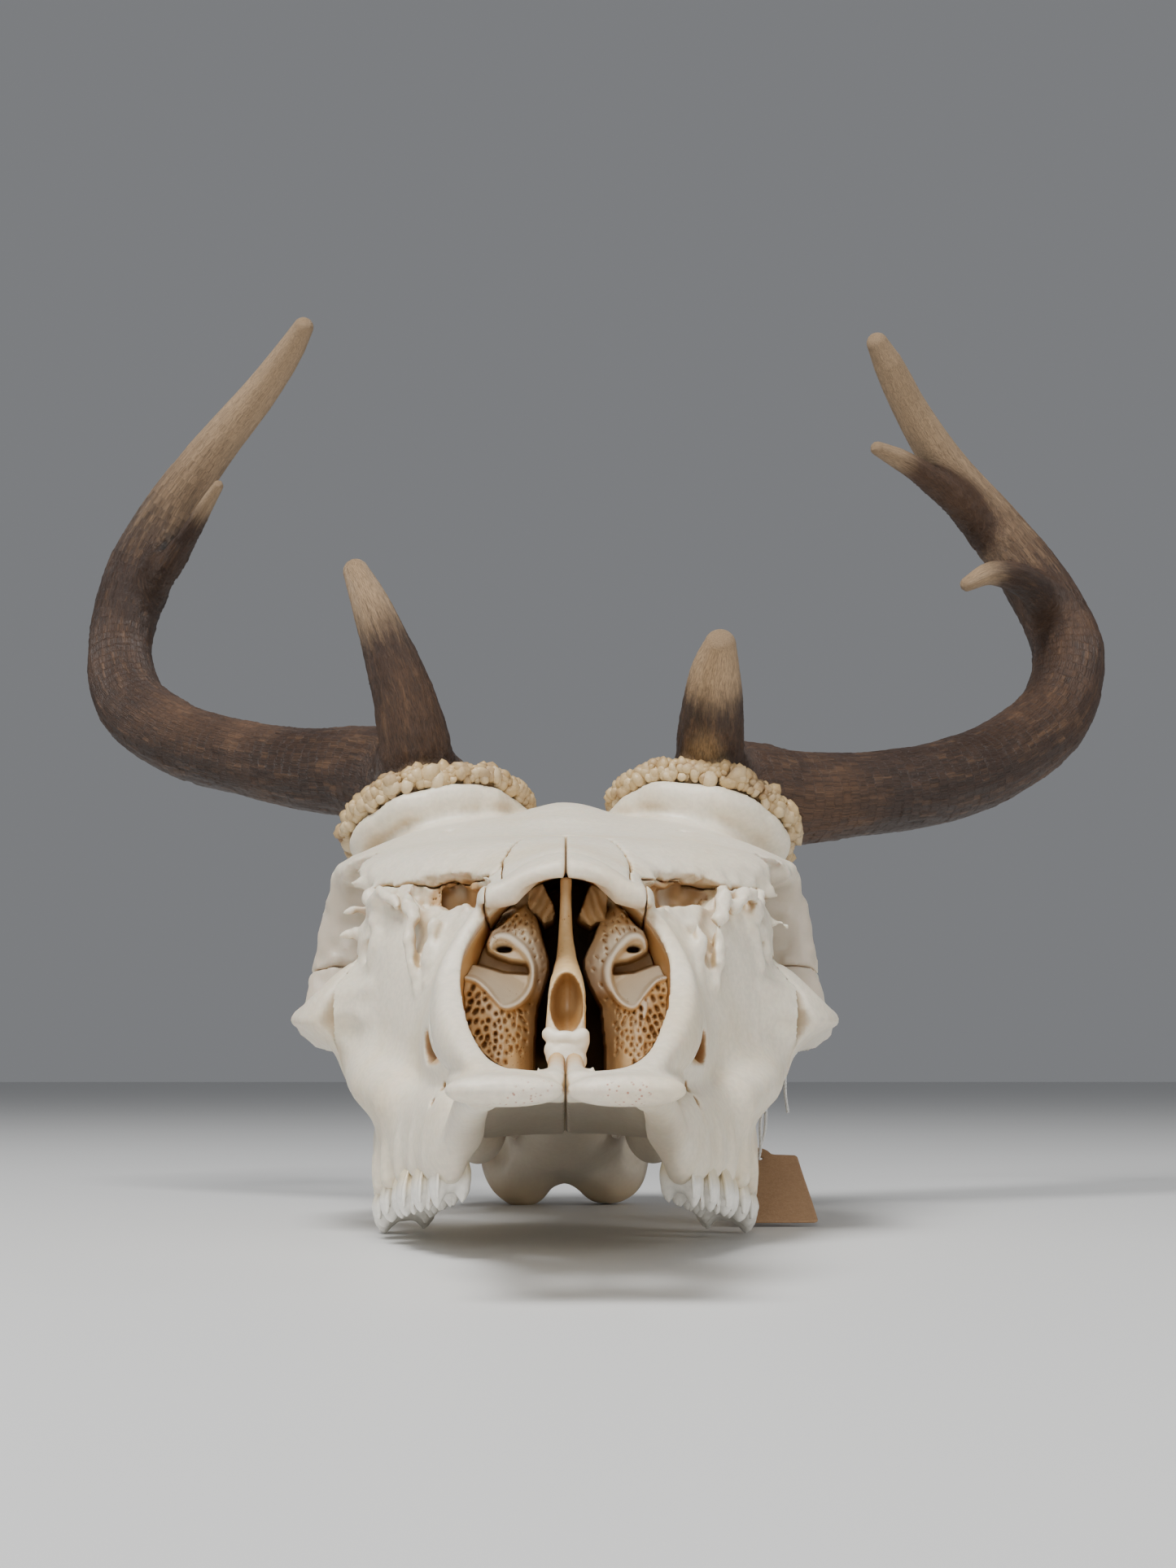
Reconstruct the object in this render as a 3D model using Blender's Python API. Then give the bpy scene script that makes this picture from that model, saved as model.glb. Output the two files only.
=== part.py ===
"""The skull of a white-tailed deer buck with its antlers and a paper tag, life size.

Lengths are in millimetres until a mesh is made. The nose points to -Y, +X is the
animal's left and the skull rests on its last cheek teeth and its condyles at z = 0.
"""

import math

import bmesh
import bpy
import numpy as np

MM = 0.001
GAP = 0.3
SIDES = (("left", 1), ("right", -1))

# Skull sections: y, half width, height of the widest line, rise above it, drop below
# it, and the powers that round the upper and the lower half
MUZZLE = (
    (5, 11.0, 31.5, 3.0, 2.4, 2.0, 2.0),
    (13, 13.6, 32.5, 6.0, 3.4, 2.0, 2.2),
    (22, 16.6, 35.0, 9.0, 6.2, 2.0, 2.2),
    (38, 21.6, 39.5, 17.0, 11.2, 1.9, 2.3),
    (48, 22.7, 42.0, 24.5, 13.8, 1.85, 2.3),
    (57, 21.6, 43.5, 26.7, 15.3, 1.8, 2.3),
    (67, 19.4, 43.5, 27.5, 15.4, 1.85, 2.5),
    (78, 20.0, 42.0, 29.5, 14.6, 1.8, 2.8),
    (86, 23.4, 41.0, 31.0, 15.0, 1.7, 2.8),
    (94, 25.8, 40.0, 33.0, 16.5, 1.6, 2.8),
    (104, 27.2, 39.5, 34.5, 18.5, 1.6, 2.8),
    (116, 29.5, 39.5, 36.0, 20.0, 1.7, 2.7),
    (126, 34.0, 40.0, 37.0, 21.0, 2.1, 2.7),
    (136, 39.0, 42.0, 37.5, 22.0, 3.0, 2.7),
    (146, 42.5, 45.0, 35.5, 24.0, 4.0, 2.6),
    (155, 44.0, 47.0, 34.0, 26.0, 4.4, 2.6),
    (164, 42.0, 48.0, 29.0, 26.0, 3.0, 2.4),
)
ROOF = (
    (112, 14.0, 67.0, 8.0, 6.0, 1.6, 2.0),
    (126, 22.0, 69.0, 8.5, 6.0, 1.9, 2.0),
    (140, 32.0, 72.0, 8.0, 6.5, 2.2, 2.0),
    (155, 43.0, 74.0, 8.5, 6.0, 2.4, 2.2),
    (172, 47.5, 76.5, 8.5, 5.5, 2.0, 2.4),
    (188, 51.0, 77.5, 12.0, 5.5, 1.9, 2.4),
    (203, 51.0, 77.5, 15.5, 7.0, 1.9, 2.2),
    (216, 45.0, 76.0, 17.5, 12.0, 2.2, 2.0),
    (230, 40.0, 70.0, 21.0, 18.0, 2.4, 2.0),
)
BRAINCASE = (
    (150, 20.0, 58.0, 15.0, 22.0, 2.0, 2.0),
    (170, 21.0, 56.0, 20.0, 24.0, 2.0, 2.0),
    (190, 26.0, 55.0, 27.0, 27.0, 2.0, 2.0),
    (210, 34.0, 54.0, 33.0, 29.0, 2.1, 2.2),
    (228, 38.5, 52.5, 38.0, 29.0, 2.2, 2.3),
    (245, 38.5, 50.0, 35.5, 27.0, 2.2, 2.3),
    (258, 36.0, 48.0, 28.0, 24.0, 2.2, 2.3),
    (267, 31.0, 46.0, 22.0, 19.0, 2.2, 2.2),
    (272, 21.0, 45.0, 17.0, 15.0, 2.0, 2.0),
)
NASAL_CAVITY = (
    (3, 7.5, 36.5, 5.0, 3.2, 2.0, 3.4),
    (12, 10.9, 38.0, 7.0, 4.7, 2.0, 3.6),
    (22, 13.2, 39.0, 10.0, 6.2, 2.0, 3.0),
    (38, 16.8, 42.0, 15.0, 10.0, 1.9, 2.6),
    (52, 19.0, 44.0, 21.8, 13.0, 1.9, 2.4),
    (62, 17.8, 45.0, 21.6, 13.2, 1.9, 2.3),
    (72, 16.8, 45.0, 22.4, 13.0, 1.8, 2.3),
    (84, 18.6, 45.0, 23.4, 13.0, 1.7, 2.2),
    (100, 20.6, 46.0, 23.5, 14.0, 1.6, 2.2),
    (120, 18.5, 48.0, 23.5, 17.0, 1.6, 2.2),
    (140, 14.0, 52.0, 20.0, 16.0, 1.8, 2.0),
    (152, 10.0, 56.0, 15.0, 12.0, 2.0, 2.0),
    (160, 5.0, 58.0, 6.0, 6.0, 2.0, 2.0),
)
PALATE_VAULT = (
    (70, 10.0, 12.0, 14.6, 14.0, 2.4, 2.0),
    (78, 16.6, 11.0, 18.0, 16.0, 2.5, 2.0),
    (86, 18.6, 9.0, 20.4, 16.0, 2.6, 2.0),
    (100, 20.2, 8.0, 19.4, 16.0, 2.6, 2.0),
    (118, 22.0, 6.0, 18.6, 16.0, 2.6, 2.0),
    (145, 25.4, 1.0, 18.8, 16.0, 2.6, 2.0),
    (165, 26.5, 0.0, 19.6, 16.0, 2.6, 2.0),
    (178, 27.0, -1.0, 22.0, 16.0, 2.4, 2.0),
)
# Paddle of each premaxilla, with its own centre: y, half width, z, rise, drop, x
PADDLE = (
    (-1.2, 5.0, 30.6, 0.9, 0.9, 7.0),
    (0.4, 8.2, 30.6, 1.9, 1.8, 7.4),
    (3.5, 10.3, 30.6, 2.5, 2.3, 7.2),
    (9.0, 9.8, 30.6, 2.6, 2.4, 7.2),
    (18.0, 8.0, 30.8, 2.6, 2.6, 9.4),
    (32.0, 5.0, 31.5, 2.6, 3.0, 14.0),
)
# Process that carries the tooth row: y, half width, z, rise, drop, x
ALVEOLUS = (
    (74, 1.6, 21.0, 6.0, 4.0, 18.6),
    (80, 3.4, 19.6, 9.0, 5.8, 20.0),
    (95, 4.8, 19.0, 11.0, 6.4, 23.5),
    (115, 5.6, 19.0, 11.0, 8.0, 28.6),
    (140, 6.2, 18.0, 11.0, 9.6, 32.4),
    (158, 6.4, 17.0, 11.0, 9.8, 33.4),
    (168, 4.5, 18.0, 8.0, 8.0, 33.2),
)
PTERYGOID = (
    (158, 2.2, 28.0, 8.4, 7.0, 13.3),
    (180, 1.5, 29.0, 10.0, 11.0, 11.5),
    (200, 1.5, 29.0, 10.0, 10.0, 11.0),
    (212, 1.5, 28.0, 8.0, 5.0, 12.0),
)
BASIOCCIPITAL = (
    (196, 9.0, 27.0, 8.0, 5.0, 0.0),
    (222, 11.0, 24.0, 9.0, 9.0, 0.0),
    (240, 14.0, 21.0, 10.0, 13.0, 0.0),
    (252, 15.0, 20.0, 10.0, 14.0, 0.0),
    (262, 14.0, 22.0, 10.0, 9.0, 0.0),
)
ARCH = (
    (136, 3.0, 44.0, 7.0, 5.0, 36.0),
    (144, 7.0, 43.4, 9.0, 7.0, 42.0),
    (152, 9.8, 43.4, 12.0, 7.0, 45.4),
    (162, 11.4, 43.6, 8.6, 7.2, 46.8),
    (172, 9.4, 43.8, 5.4, 7.0, 49.2),
    (183, 6.6, 44.2, 5.0, 6.4, 54.2),
    (193, 3.8, 44.0, 5.0, 5.6, 56.4),
    (203, 2.8, 44.0, 6.0, 5.5, 55.8),
    (216, 2.6, 43.0, 6.0, 5.4, 51.4),
    (229, 3.6, 42.0, 6.0, 5.8, 44.4),
    (238, 6.0, 42.0, 7.5, 7.0, 35.5),
)
# Rear bar of each orbit, read upwards: z, half width, y, half depth behind it and before, x
ORBIT_BAR = (
    (42.0, 3.0, 196.0, 7.0, 8.0, 56.6),
    (50.0, 5.4, 199.0, 4.2, 5.0, 53.8),
    (60.0, 7.0, 201.0, 3.2, 4.0, 50.6),
    (70.0, 8.0, 201.0, 4.0, 5.0, 48.0),
    (80.0, 10.0, 198.0, 8.0, 8.0, 43.0),
)
ARCH_POWERS = (1.25, 1.1)
ORBIT_CENTRE, ORBIT_RADII = (50.0, 172.5, 63.5), (26.0, 21.0, 17.0)
FORAMEN_MAGNUM, FORAMEN_RADII = (0.0, 272.0, 27.0), (9.5, 22.0, 9.0)
INFRAORBITAL, INFRAORBITAL_RADII = (25.6, 89.0, 36.4), (2.8, 6.0, 4.2)
ANTORBITAL, ANTORBITAL_RADII = (21.7, 117.4, 68.0), (6.5, 8.0, 3.8)
PALATINE_FISSURE, PALATINE_RADII = (6.3, 31.0, 30.0), (2.3, 15.0, 9.0)
CHEEK_DIMPLE, CHEEK_DIMPLE_RADII = (46.5, 139.5, 41.6), (7.0, 6.4, 3.6)
CONDYLE, CONDYLE_RADII = (11.0, 256.0, 11.5), (10.0, 12.5, 12.1)
BULLA, BULLA_RADII = (21.0, 230.0, 20.0), (7.0, 11.0, 9.0)
# Round bars as x, y, z and radius
FACIAL_RIDGE = ((33, 116, 28, 4.0), (38, 134, 31, 5.5), (40.3, 148, 33, 5.2), (41.6, 158, 33.5, 5.0))
PAROCCIPITAL = ((29, 252, 34, 6.0), (28.5, 252, 20, 4.5), (27.5, 250, 7, 2.2))
NUCHAL_CREST = (
    (-31, 266, 54, 3.6), (-24, 270.5, 65, 3.6), (0, 272, 71, 4.0), (24, 270.5, 65, 3.6), (31, 266, 54, 3.6),
)
SAGITTAL_RISE = ((0, 238, 82, 6.0), (0, 256, 75, 6.0), (0, 269, 68, 5.0))
BROW_RISE = ((0, 192, 81, 8.0), (0, 212, 86, 9.0), (0, 234, 81, 8.0))

# Sutures, as y and z in the side view or x and y from above
RIM = ((12, 33.4), (20, 36.2), (29, 40.2), (38, 44.8), (46, 50.0), (52, 56.0), (55.5, 61.0))
PREMAXILLA_SUTURE = ((62, 63), (60.5, 60), (57, 55.5), (51, 48.5), (42, 40.5), (34, 33), (31, 14))
# The suture before the cranium is cut in full down to the zygomatic bones, and below that between them
FRONTAL_SUTURE = ((117, 71), (128, 71), (152, 70.6), (157, 62), (158.4, 57))
REAR_SUTURE = ((157.98, 58.5), (160, 46), (167, 32), (173, 18), (174, -6))
APERTURE = (*RIM, (51.4, 61.4), (50.6, 66), (52, 110), (-12, 110), (-12, 34.4), (4, 34.4))
BELOW_FLOOR = ((-20, 0), (300, 0), (300, -30), (-20, -30))
NASAL_EDGE_AT_FRONTAL = 12.4
NASAL_SUTURE = ((13.6, 30), (13.6, 75), (12.5, 100), (12.5, 122), (8.5, 140), (0, 151))
NASAL_MIDLINE = ((100, 70), (151, 70), (151, 110), (100, 110))
ZYGOMATIC_OUTLINE = (
    (150, 57), (147, 48), (149.5, 36.5), (158, 27), (195, 27), (220, 33), (208, 53), (192, 59), (170, 57),
)
ZYGOMATIC_INSIDE, ZYGOMATIC_OUTSIDE = 42.0, 80.0

# Cheek teeth, front to rear: length along the row and width across it
TEETH = ((9.0, 7.5), (9.5, 9.0), (9.0, 10.5), (12.5, 12.5), (14.5, 13.5), (15.0, 13.0))
ROW_START, ROW_END = (20.0, 84.5), (33.2, 157.5)
ROW_BOW = 3.0
CROWN_FRONT, CROWN_REAR = 9.0, -0.4
TOOTH_HEIGHT, TOOTH_TOUCH = 15.0, 1.04

BURR_RADIUS, BURR_BEAD, BURR_THICK, BURR_BEADS = 22.0, 2.0, 3.4, 20
# The burr's edge: height in thicknesses, share of the radius and share of the beads
BURR_PROFILE = ((-1.0, 0.86, 0.0), (-0.5, 0.97, 0.8), (0.3, 1.0, 1.0), (1.0, 0.93, 0.6), (1.5, 0.72, 0.0))
PEDICLE_ROOT = (29.0, 214.0, 70.0, 17.5)
# The pedicle flares below the burr: distance under its top and radius
PEDICLE_FLARE = ((12.0, 15.6), (6.0, 16.6), (2.0, 19.4), (0.0, 20.8))
BURR_CENTRE = {"left": (34.0, 230.0, 93.4), "right": (-31.9, 230.0, 92.7)}
BURR_AXIS = (0.23, 0.49, 0.84)

# Antler lines as points of x, y, z and radius, from the burr outwards
BEAM = {
    "left": (
        (34.5, 231, 95, 14.5), (42.0, 239, 101.5, 13.5), (54.3, 246, 101.5, 12.3),
        (73.1, 258, 103.7, 10.9), (95.4, 272, 107.9, 10.8),
        (118.9, 290, 117.9, 10.6), (137.5, 306, 134.3, 10.3),
        (142.8, 316, 151.8, 10.0), (136.1, 320, 170.3, 9.2), (123.4, 320, 188.1, 8.0),
        (108.9, 314, 204.6, 6.1), (96.9, 304, 219.6, 4.8), (89.1, 294, 230.3, 3.9), (86.4, 291, 234.0, 3.0),
    ),
    "right": (
        (-32.5, 231, 95, 14.5), (-39.5, 239, 103.5, 13.5), (-50.5, 248, 108, 12.0), (-63.4, 257, 109.7, 10.7),
        (-84.1, 272, 114.9, 9.7), (-106.4, 292, 123.5, 9.8), (-122.0, 307, 136.4, 9.6),
        (-126.6, 317, 153.9, 8.8), (-122.1, 320, 174.5, 9.4), (-113.7, 318, 191.9, 7.7),
        (-100.3, 310, 208.2, 6.0), (-85.4, 300, 222.7, 4.8),
        (-75.8, 291, 232.8, 3.6), (-72.5, 287, 236.8, 2.8),
    ),
}
TINES = {
    "left": {
        "brow_tine": (
            (37.0, 237, 98, 7.5), (35.1, 226, 108, 8.3), (35.1, 213, 119, 7.4), (35.3, 204, 127.5, 5.6),
            (36.0, 198.5, 132, 3.8),
        ),
        "hook_tine": (
            (139, 318, 160, 4.5), (134, 310, 166.5, 4.6), (124.9, 299, 169.5, 4.0), (116, 291, 168.8, 3.1),
            (109.2, 286, 164.8, 2.0),
        ),
        "upper_tine": (
            (121, 319, 187, 3.5), (109, 311, 196, 4.2), (99.6, 304, 200.8, 3.4), (91.9, 298, 203.4, 2.8),
            (86.4, 294, 204.8, 2.0),
        ),
    },
    "right": {
        "brow_tine": (
            (-38, 236, 99, 8.0), (-36.4, 226, 107.3, 8.9),
            (-38.6, 221.5, 120.7, 7.8), (-43, 219.5, 134.3, 6.1),
            (-48.2, 219.5, 147.4, 4.4), (-51.2, 220.5, 154, 3.2),
        ),
        "upper_tine": (
            (-119, 318, 168, 3.6), (-112, 311, 175, 3.6), (-104.2, 301, 183, 2.6), (-98.6, 293, 189.2, 2.0),
            (-95.4, 289, 192.6, 1.5),
        ),
    },
}
# Where each antler is split: a name for what lies beyond a share of the beam's length
BEAM_FORKS = {"left": (("beam", 0.14), ("tip", 0.66)), "right": (("beam", 0.14), ("tip", 0.62))}
# How far along each tine its cut lies, and how wide the cut is
TINE_CUTS = {
    "left": {"brow_tine": (0.58, 9.6), "hook_tine": (0.34, 6.5), "upper_tine": (0.62, 5.5)},
    "right": {"brow_tine": (0.36, 11.0), "upper_tine": (0.45, 6.0)},
}

# Turbinate scrolls as lines across the nose, x and z, swept from the first y to the last
SHELF = ((16.5, 49.2), (12.6, 47.8), (9.0, 47.2), (5.8, 47.8))
SCROLL = (
    (5.8, 46.6), (3.7, 49.5), (3.8, 53.0), (5.8, 56.4), (8.6, 58.0), (11.4, 56.6), (12.4, 54.0), (10.8, 52.6),
)
LOWER_CURL = ((5.8, 47.2), (8.0, 45.4), (8.6, 41.5), (7.8, 37.5), (9.6, 34.8))
UPPER_SCROLL = ((2.4, 63.9), (2.3, 61.3), (4.0, 59.8), (6.2, 61.4), (5.9, 63.0))
SCROLL_THICK = 1.0
VENTRAL_FROM, VENTRAL_TO = 62.0, 98.0
DORSAL_FROM, DORSAL_TO = 66.0, 100.0
VOMER_FROM, VOMER_TO = 41.0, 134.0
# The vomer: half widths of its foot, its waist and its plate, and how its top rises to the rear
VOMER_HALVES = (2.2, 2.0, 0.7)
VOMER_TOP_START, VOMER_TOP_SLOPE = 42.0, 1.1

# The paper tag leans on the floor, and its string is tied round the left arch
TAG_WIDTH, TAG_LENGTH, TAG_THICK = 18.5, 33.0, 0.6
TAG_CORNER, TAG_NECK, TAG_TAB, TAG_CUT = 3.2, 5.5, 2.6, (2.4, 2.0)
TAG_FOOT = (45.2, 168.0, 0.7)
TAG_LEAN = math.radians(26.0)
TAG_TURN = math.radians(4.0)
HOLE_BACK, HOLE_RADIUS = 4.6, 1.7
STRING_RADIUS = 0.4

SHARP_FROM = math.radians(40)
# Colours and roughness
BONE = ((0.86, 0.80, 0.69), 0.55)
TURBINATE = ((0.80, 0.62, 0.38), 0.6)
ANTLER = ((0.10, 0.055, 0.035), 0.6)
ANTLER_TIP = ((0.42, 0.31, 0.21), 0.5)
KRAFT = ((0.42, 0.27, 0.15), 0.85)
STRING = ((0.86, 0.86, 0.84), 0.8)


def material(name, look):
    """A plain Principled material of one colour and roughness."""
    colour, roughness = look
    made = bpy.data.materials.new(name)
    made.use_nodes = True
    shader = made.node_tree.nodes["Principled BSDF"]
    shader.inputs["Base Color"].default_value = (*colour, 1.0)
    shader.inputs["Roughness"].default_value = roughness
    return made


def smooth_table(table, places):
    """Rows of a table read at other places of its first column, on a smooth curve."""
    table = np.asarray(table, float)
    at, rows = table[:, 0], table[:, 1:]
    slopes = np.gradient(rows, at, axis=0)
    index = np.clip(np.searchsorted(at, places) - 1, 0, len(at) - 2)
    width = (at[index + 1] - at[index])[:, None]
    t = ((places - at[index])[:, None]) / width
    start, end = rows[index], rows[index + 1]
    a, b = slopes[index] * width, slopes[index + 1] * width
    return (
        start * (2 * t**3 - 3 * t**2 + 1)
        + end * (3 * t**2 - 2 * t**3)
        + a * (t**3 - 2 * t**2 + t)
        + b * (t**3 - t**2)
    )


def object_from(name, points, faces):
    """A closed mesh object from points in millimetres, with its faces turned outwards."""
    mesh = bpy.data.meshes.new(name)
    mesh.from_pydata((np.asarray(points, float) * MM).tolist(), [], faces)
    body = bmesh.new()
    body.from_mesh(mesh)
    bmesh.ops.recalc_face_normals(body, faces=body.faces)
    if body.calc_volume(signed=True) < 0:
        bmesh.ops.reverse_faces(body, faces=body.faces)
    body.to_mesh(mesh)
    body.free()
    made = bpy.data.objects.new(name, mesh)
    bpy.context.scene.collection.objects.link(made)
    return made


def skin_rings(name, rings):
    """A closed body over a row of rings that have the same count of points."""
    rings = np.asarray(rings, float)
    count, around = rings.shape[:2]
    faces = [list(range(around))]
    for ring in range(count - 1):
        for k in range(around):
            here, there = ring * around, (ring + 1) * around
            after = (k + 1) % around
            faces.append([here + k, here + after, there + after, there + k])
    faces.append(list(range((count - 1) * around, count * around)))
    return object_from(name, rings.reshape(-1, 3), faces)


def egg_ring(y, half_width, centre_z, rise, drop, power_up, power_down, centre_x=0.0, around=24):
    """A section across the skull whose upper and lower halves are rounded on their own."""
    angle = np.arange(around) * 2 * math.pi / around
    cos, sin = np.cos(angle), np.sin(angle)
    power = np.where(sin >= 0, power_up, power_down)
    height = np.where(sin >= 0, rise, drop)
    x = centre_x + half_width * np.sign(cos) * np.abs(cos) ** (2 / power)
    z = centre_z + height * np.sign(sin) * np.abs(sin) ** (2 / power)
    return np.stack([x, np.full(around, float(y)), z], axis=1)


def places_along(table, step):
    first, last = table[0][0], table[-1][0]
    return np.linspace(first, last, max(3, round((last - first) / step) + 1))


def egg_loft(name, table, step=12.0, around=20):
    """A loft through full-width sections that are centred on the midline."""
    places = places_along(table, step)
    rows = smooth_table(table, places)
    return skin_rings(name, [egg_ring(y, *row, around=around) for y, row in zip(places, rows)])


def side_loft(name, table, side, step=12.0, around=10, powers=(2.6, 2.6), upright=False):
    """A loft of one side, whose sections keep their own centre x as the last value."""
    places = places_along(table, step)
    rings = []
    for place, (half_width, middle, rise, drop, x) in zip(places, smooth_table(table, places)):
        ring = egg_ring(place, half_width, middle, rise, drop, *powers, side * x, around)
        rings.append(ring[:, [0, 2, 1]] if upright else ring)
    return skin_rings(name, rings)


def ellipsoid(name, centre, radii, around=14, rows=8):
    body = bmesh.new()
    bmesh.ops.create_uvsphere(body, u_segments=around, v_segments=rows, radius=1.0)
    points = [np.array(v.co) * radii + np.array(centre) for v in body.verts]
    faces = [[v.index for v in face.verts] for face in body.faces]
    body.free()
    return object_from(name, points, faces)


def path_through(points, count):
    """A smooth line of this many places through rows of numbers, spaced by distance."""
    points = np.asarray(points, float)
    steps = np.linalg.norm(np.diff(points[:, :3], axis=0), axis=1)
    along = np.concatenate([[0], np.cumsum(steps)])
    table = np.column_stack([along, points])
    return smooth_table(table, np.linspace(0, along[-1], count))


def frames_along(line):
    """Directions along a line, with two more across it that don't twist."""
    tangents = np.gradient(line, axis=0)
    tangents /= np.linalg.norm(tangents, axis=1)[:, None]
    across = np.cross(tangents[0], (0.31, 0.17, 0.93))
    firsts = []
    for tangent in tangents:
        across = across - tangent * (across @ tangent)
        across /= np.linalg.norm(across)
        firsts.append(across)
    firsts = np.array(firsts)
    return tangents, firsts, np.cross(tangents, firsts)


def round_sweep(name, points, count, around=12, blunt=True):
    """A round bar along a line of x, y, z and radius, with a rounded far end."""
    line = path_through(points, count)
    centres, radii = line[:, :3], line[:, 3]
    tangents, first, second = frames_along(centres)
    if blunt:
        end, reach = centres[-1], radii[-1]
        for share in (0.55, 0.9):
            centres = np.vstack([centres, end + tangents[-1] * reach * share])
            radii = np.append(radii, reach * math.sqrt(1 - share**2))
            first = np.vstack([first, first[-1]])
            second = np.vstack([second, second[-1]])
    angle = np.arange(around) * 2 * math.pi / around
    rings = [
        c + r * (np.cos(angle)[:, None] * u + np.sin(angle)[:, None] * v)
        for c, r, u, v in zip(centres, radii, first, second)
    ]
    return skin_rings(name, rings)


def use_boolean(target, operation, others, solver="EXACT"):
    """One Boolean with a collection of closed meshes, applied, after which they are removed."""
    group = bpy.data.collections.new("boolean parts")
    bpy.context.scene.collection.children.link(group)
    for other in others:
        bpy.context.scene.collection.objects.unlink(other)
        group.objects.link(other)
    modifier = target.modifiers.new("Boolean", "BOOLEAN")
    modifier.operation = operation
    modifier.solver = solver
    modifier.operand_type = "COLLECTION"
    modifier.collection = group
    bpy.context.view_layer.update()
    result = bpy.data.meshes.new_from_object(target.evaluated_get(bpy.context.evaluated_depsgraph_get()))
    target.modifiers.clear()
    target.data = result
    for other in others:
        bpy.data.objects.remove(other)
    bpy.data.collections.remove(group)
    return target


def islands_of(target):
    """The loose pieces of a mesh, each as its own list of points and faces."""
    mesh = target.data
    points = np.array([v.co for v in mesh.vertices]) / MM
    owner = np.arange(len(points))

    def root(k):
        while owner[k] != k:
            owner[k] = owner[owner[k]]
            k = owner[k]
        return k

    for edge in mesh.edges:
        owner[root(edge.vertices[0])] = root(edge.vertices[1])
    groups = {}
    for polygon in mesh.polygons:
        groups.setdefault(root(polygon.vertices[0]), []).append(list(polygon.vertices))
    pieces = []
    for faces in groups.values():
        used = sorted({k for face in faces for k in face})
        place = {k: n for n, k in enumerate(used)}
        pieces.append((points[used], [[place[k] for k in face] for face in faces]))
    return pieces


def volume_of(points, faces):
    total = 0.0
    for face in faces:
        first = points[face[0]]
        for second, third in zip(face[1:-1], face[2:]):
            total += np.dot(first, np.cross(points[second], points[third])) / 6
    return total


def keep_largest(target):
    """Drops what a union seals inside a body, and any loose scrap."""
    points, faces = max(islands_of(target), key=lambda piece: volume_of(*piece))
    name = target.name
    bpy.data.objects.remove(target)
    return object_from(name, points, faces)


def wall(name, outline, plane, low, high):
    """A sheet as thick as the gap between two nodes, along a line drawn in one plane."""
    line = np.asarray(outline, float)
    along = np.gradient(line, axis=0)
    along /= np.linalg.norm(along, axis=1)[:, None]
    normal = np.stack([-along[:, 1], along[:, 0]], axis=1) * GAP / 2
    loop = np.vstack([line + normal, (line - normal)[::-1]])
    return prism(name, loop, plane, low, high)


def prism(name, loop, plane, low, high):
    """A closed outline in the yz or xy plane, drawn out along the third axis."""
    loop = np.asarray(loop, float)
    rings = []
    for level in (low, high):
        third = np.full(len(loop), float(level))
        columns = (third, loop[:, 0], loop[:, 1]) if plane == "yz" else (loop[:, 0], loop[:, 1], third)
        rings.append(np.stack(columns, axis=1))
    return skin_rings(name, rings)


def grown(loop, distance):
    """A closed outline moved outwards, or inwards where the distance is negative."""
    loop = np.asarray(loop, float)
    along = np.roll(loop, -1, axis=0) - np.roll(loop, 1, axis=0)
    along /= np.linalg.norm(along, axis=1)[:, None]
    normal = np.stack([along[:, 1], -along[:, 0]], axis=1)
    return loop + normal * distance


def zygomatic_cutter(side):
    """A thin box of walls round the zygomatic bone of one side, open at its outer side."""
    near, far = side * (ZYGOMATIC_INSIDE - GAP), side * ZYGOMATIC_OUTSIDE
    box = prism("zygomatic walls", grown(ZYGOMATIC_OUTLINE, GAP / 2), "yz", *sorted((near, far)))
    near, far = side * ZYGOMATIC_INSIDE, side * (ZYGOMATIC_OUTSIDE + 5)
    inner = prism("zygomatic room", grown(ZYGOMATIC_OUTLINE, -GAP / 2), "yz", *sorted((near, far)))
    return use_boolean(box, "DIFFERENCE", [inner])


def tooth(name, centre, turn, length, width, bottom):
    """A cheek tooth with two cusps on its chewing edge and a root sunk in the jaw."""
    levels = ((1.0, 0.85), (0.3, 1.0), (0.0, 0.86))
    around = 12
    angle = np.arange(around) * 2 * math.pi / around
    cos, sin = np.cos(turn), np.sin(turn)
    rings = []
    for level, scale in levels:
        along = length / 2 * scale * np.sign(np.sin(angle)) * np.abs(np.sin(angle)) ** 0.6
        across = width / 2 * scale * np.cos(angle) * (1 - 0.16 * np.exp(-((along / (0.16 * length)) ** 2)))
        cusp = 1.3 * np.exp(-((along / (0.14 * length)) ** 2)) if level == 0.0 else 0.0
        x = centre[0] + across * cos - along * sin
        y = centre[1] + across * sin + along * cos
        rings.append(np.stack([x, y, np.full(around, bottom + level * TOOTH_HEIGHT) + cusp], axis=1))
    return skin_rings(name, rings)


def tooth_row(side):
    """Six cheek teeth along a row that bows outwards and drops to the rear."""
    total = sum(length for length, _ in TEETH)
    start, end = np.array(ROW_START), np.array(ROW_END)
    done, made = 0.0, []
    for number, (length, width) in enumerate(TEETH):
        share = (done + length / 2) / total
        done += length
        line = start + (end - start) * share
        x = line[0] + ROW_BOW * math.sin(math.pi * share)
        turn = -math.atan2(end[0] - start[0], end[1] - start[1]) * (1 - 0.8 * (share - 0.3))
        bottom = CROWN_FRONT + (CROWN_REAR - CROWN_FRONT) * min(1.0, share / 0.9)
        centre = (side * x, line[1])
        made.append(tooth(f"tooth {number}", centre, side * turn, length * TOOTH_TOUCH, width, bottom))
    return made


def turned(rows, side):
    """The same rows for one side of the animal, with x turned round for the right one."""
    return [(side * x, *rest) for x, *rest in rows]


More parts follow.
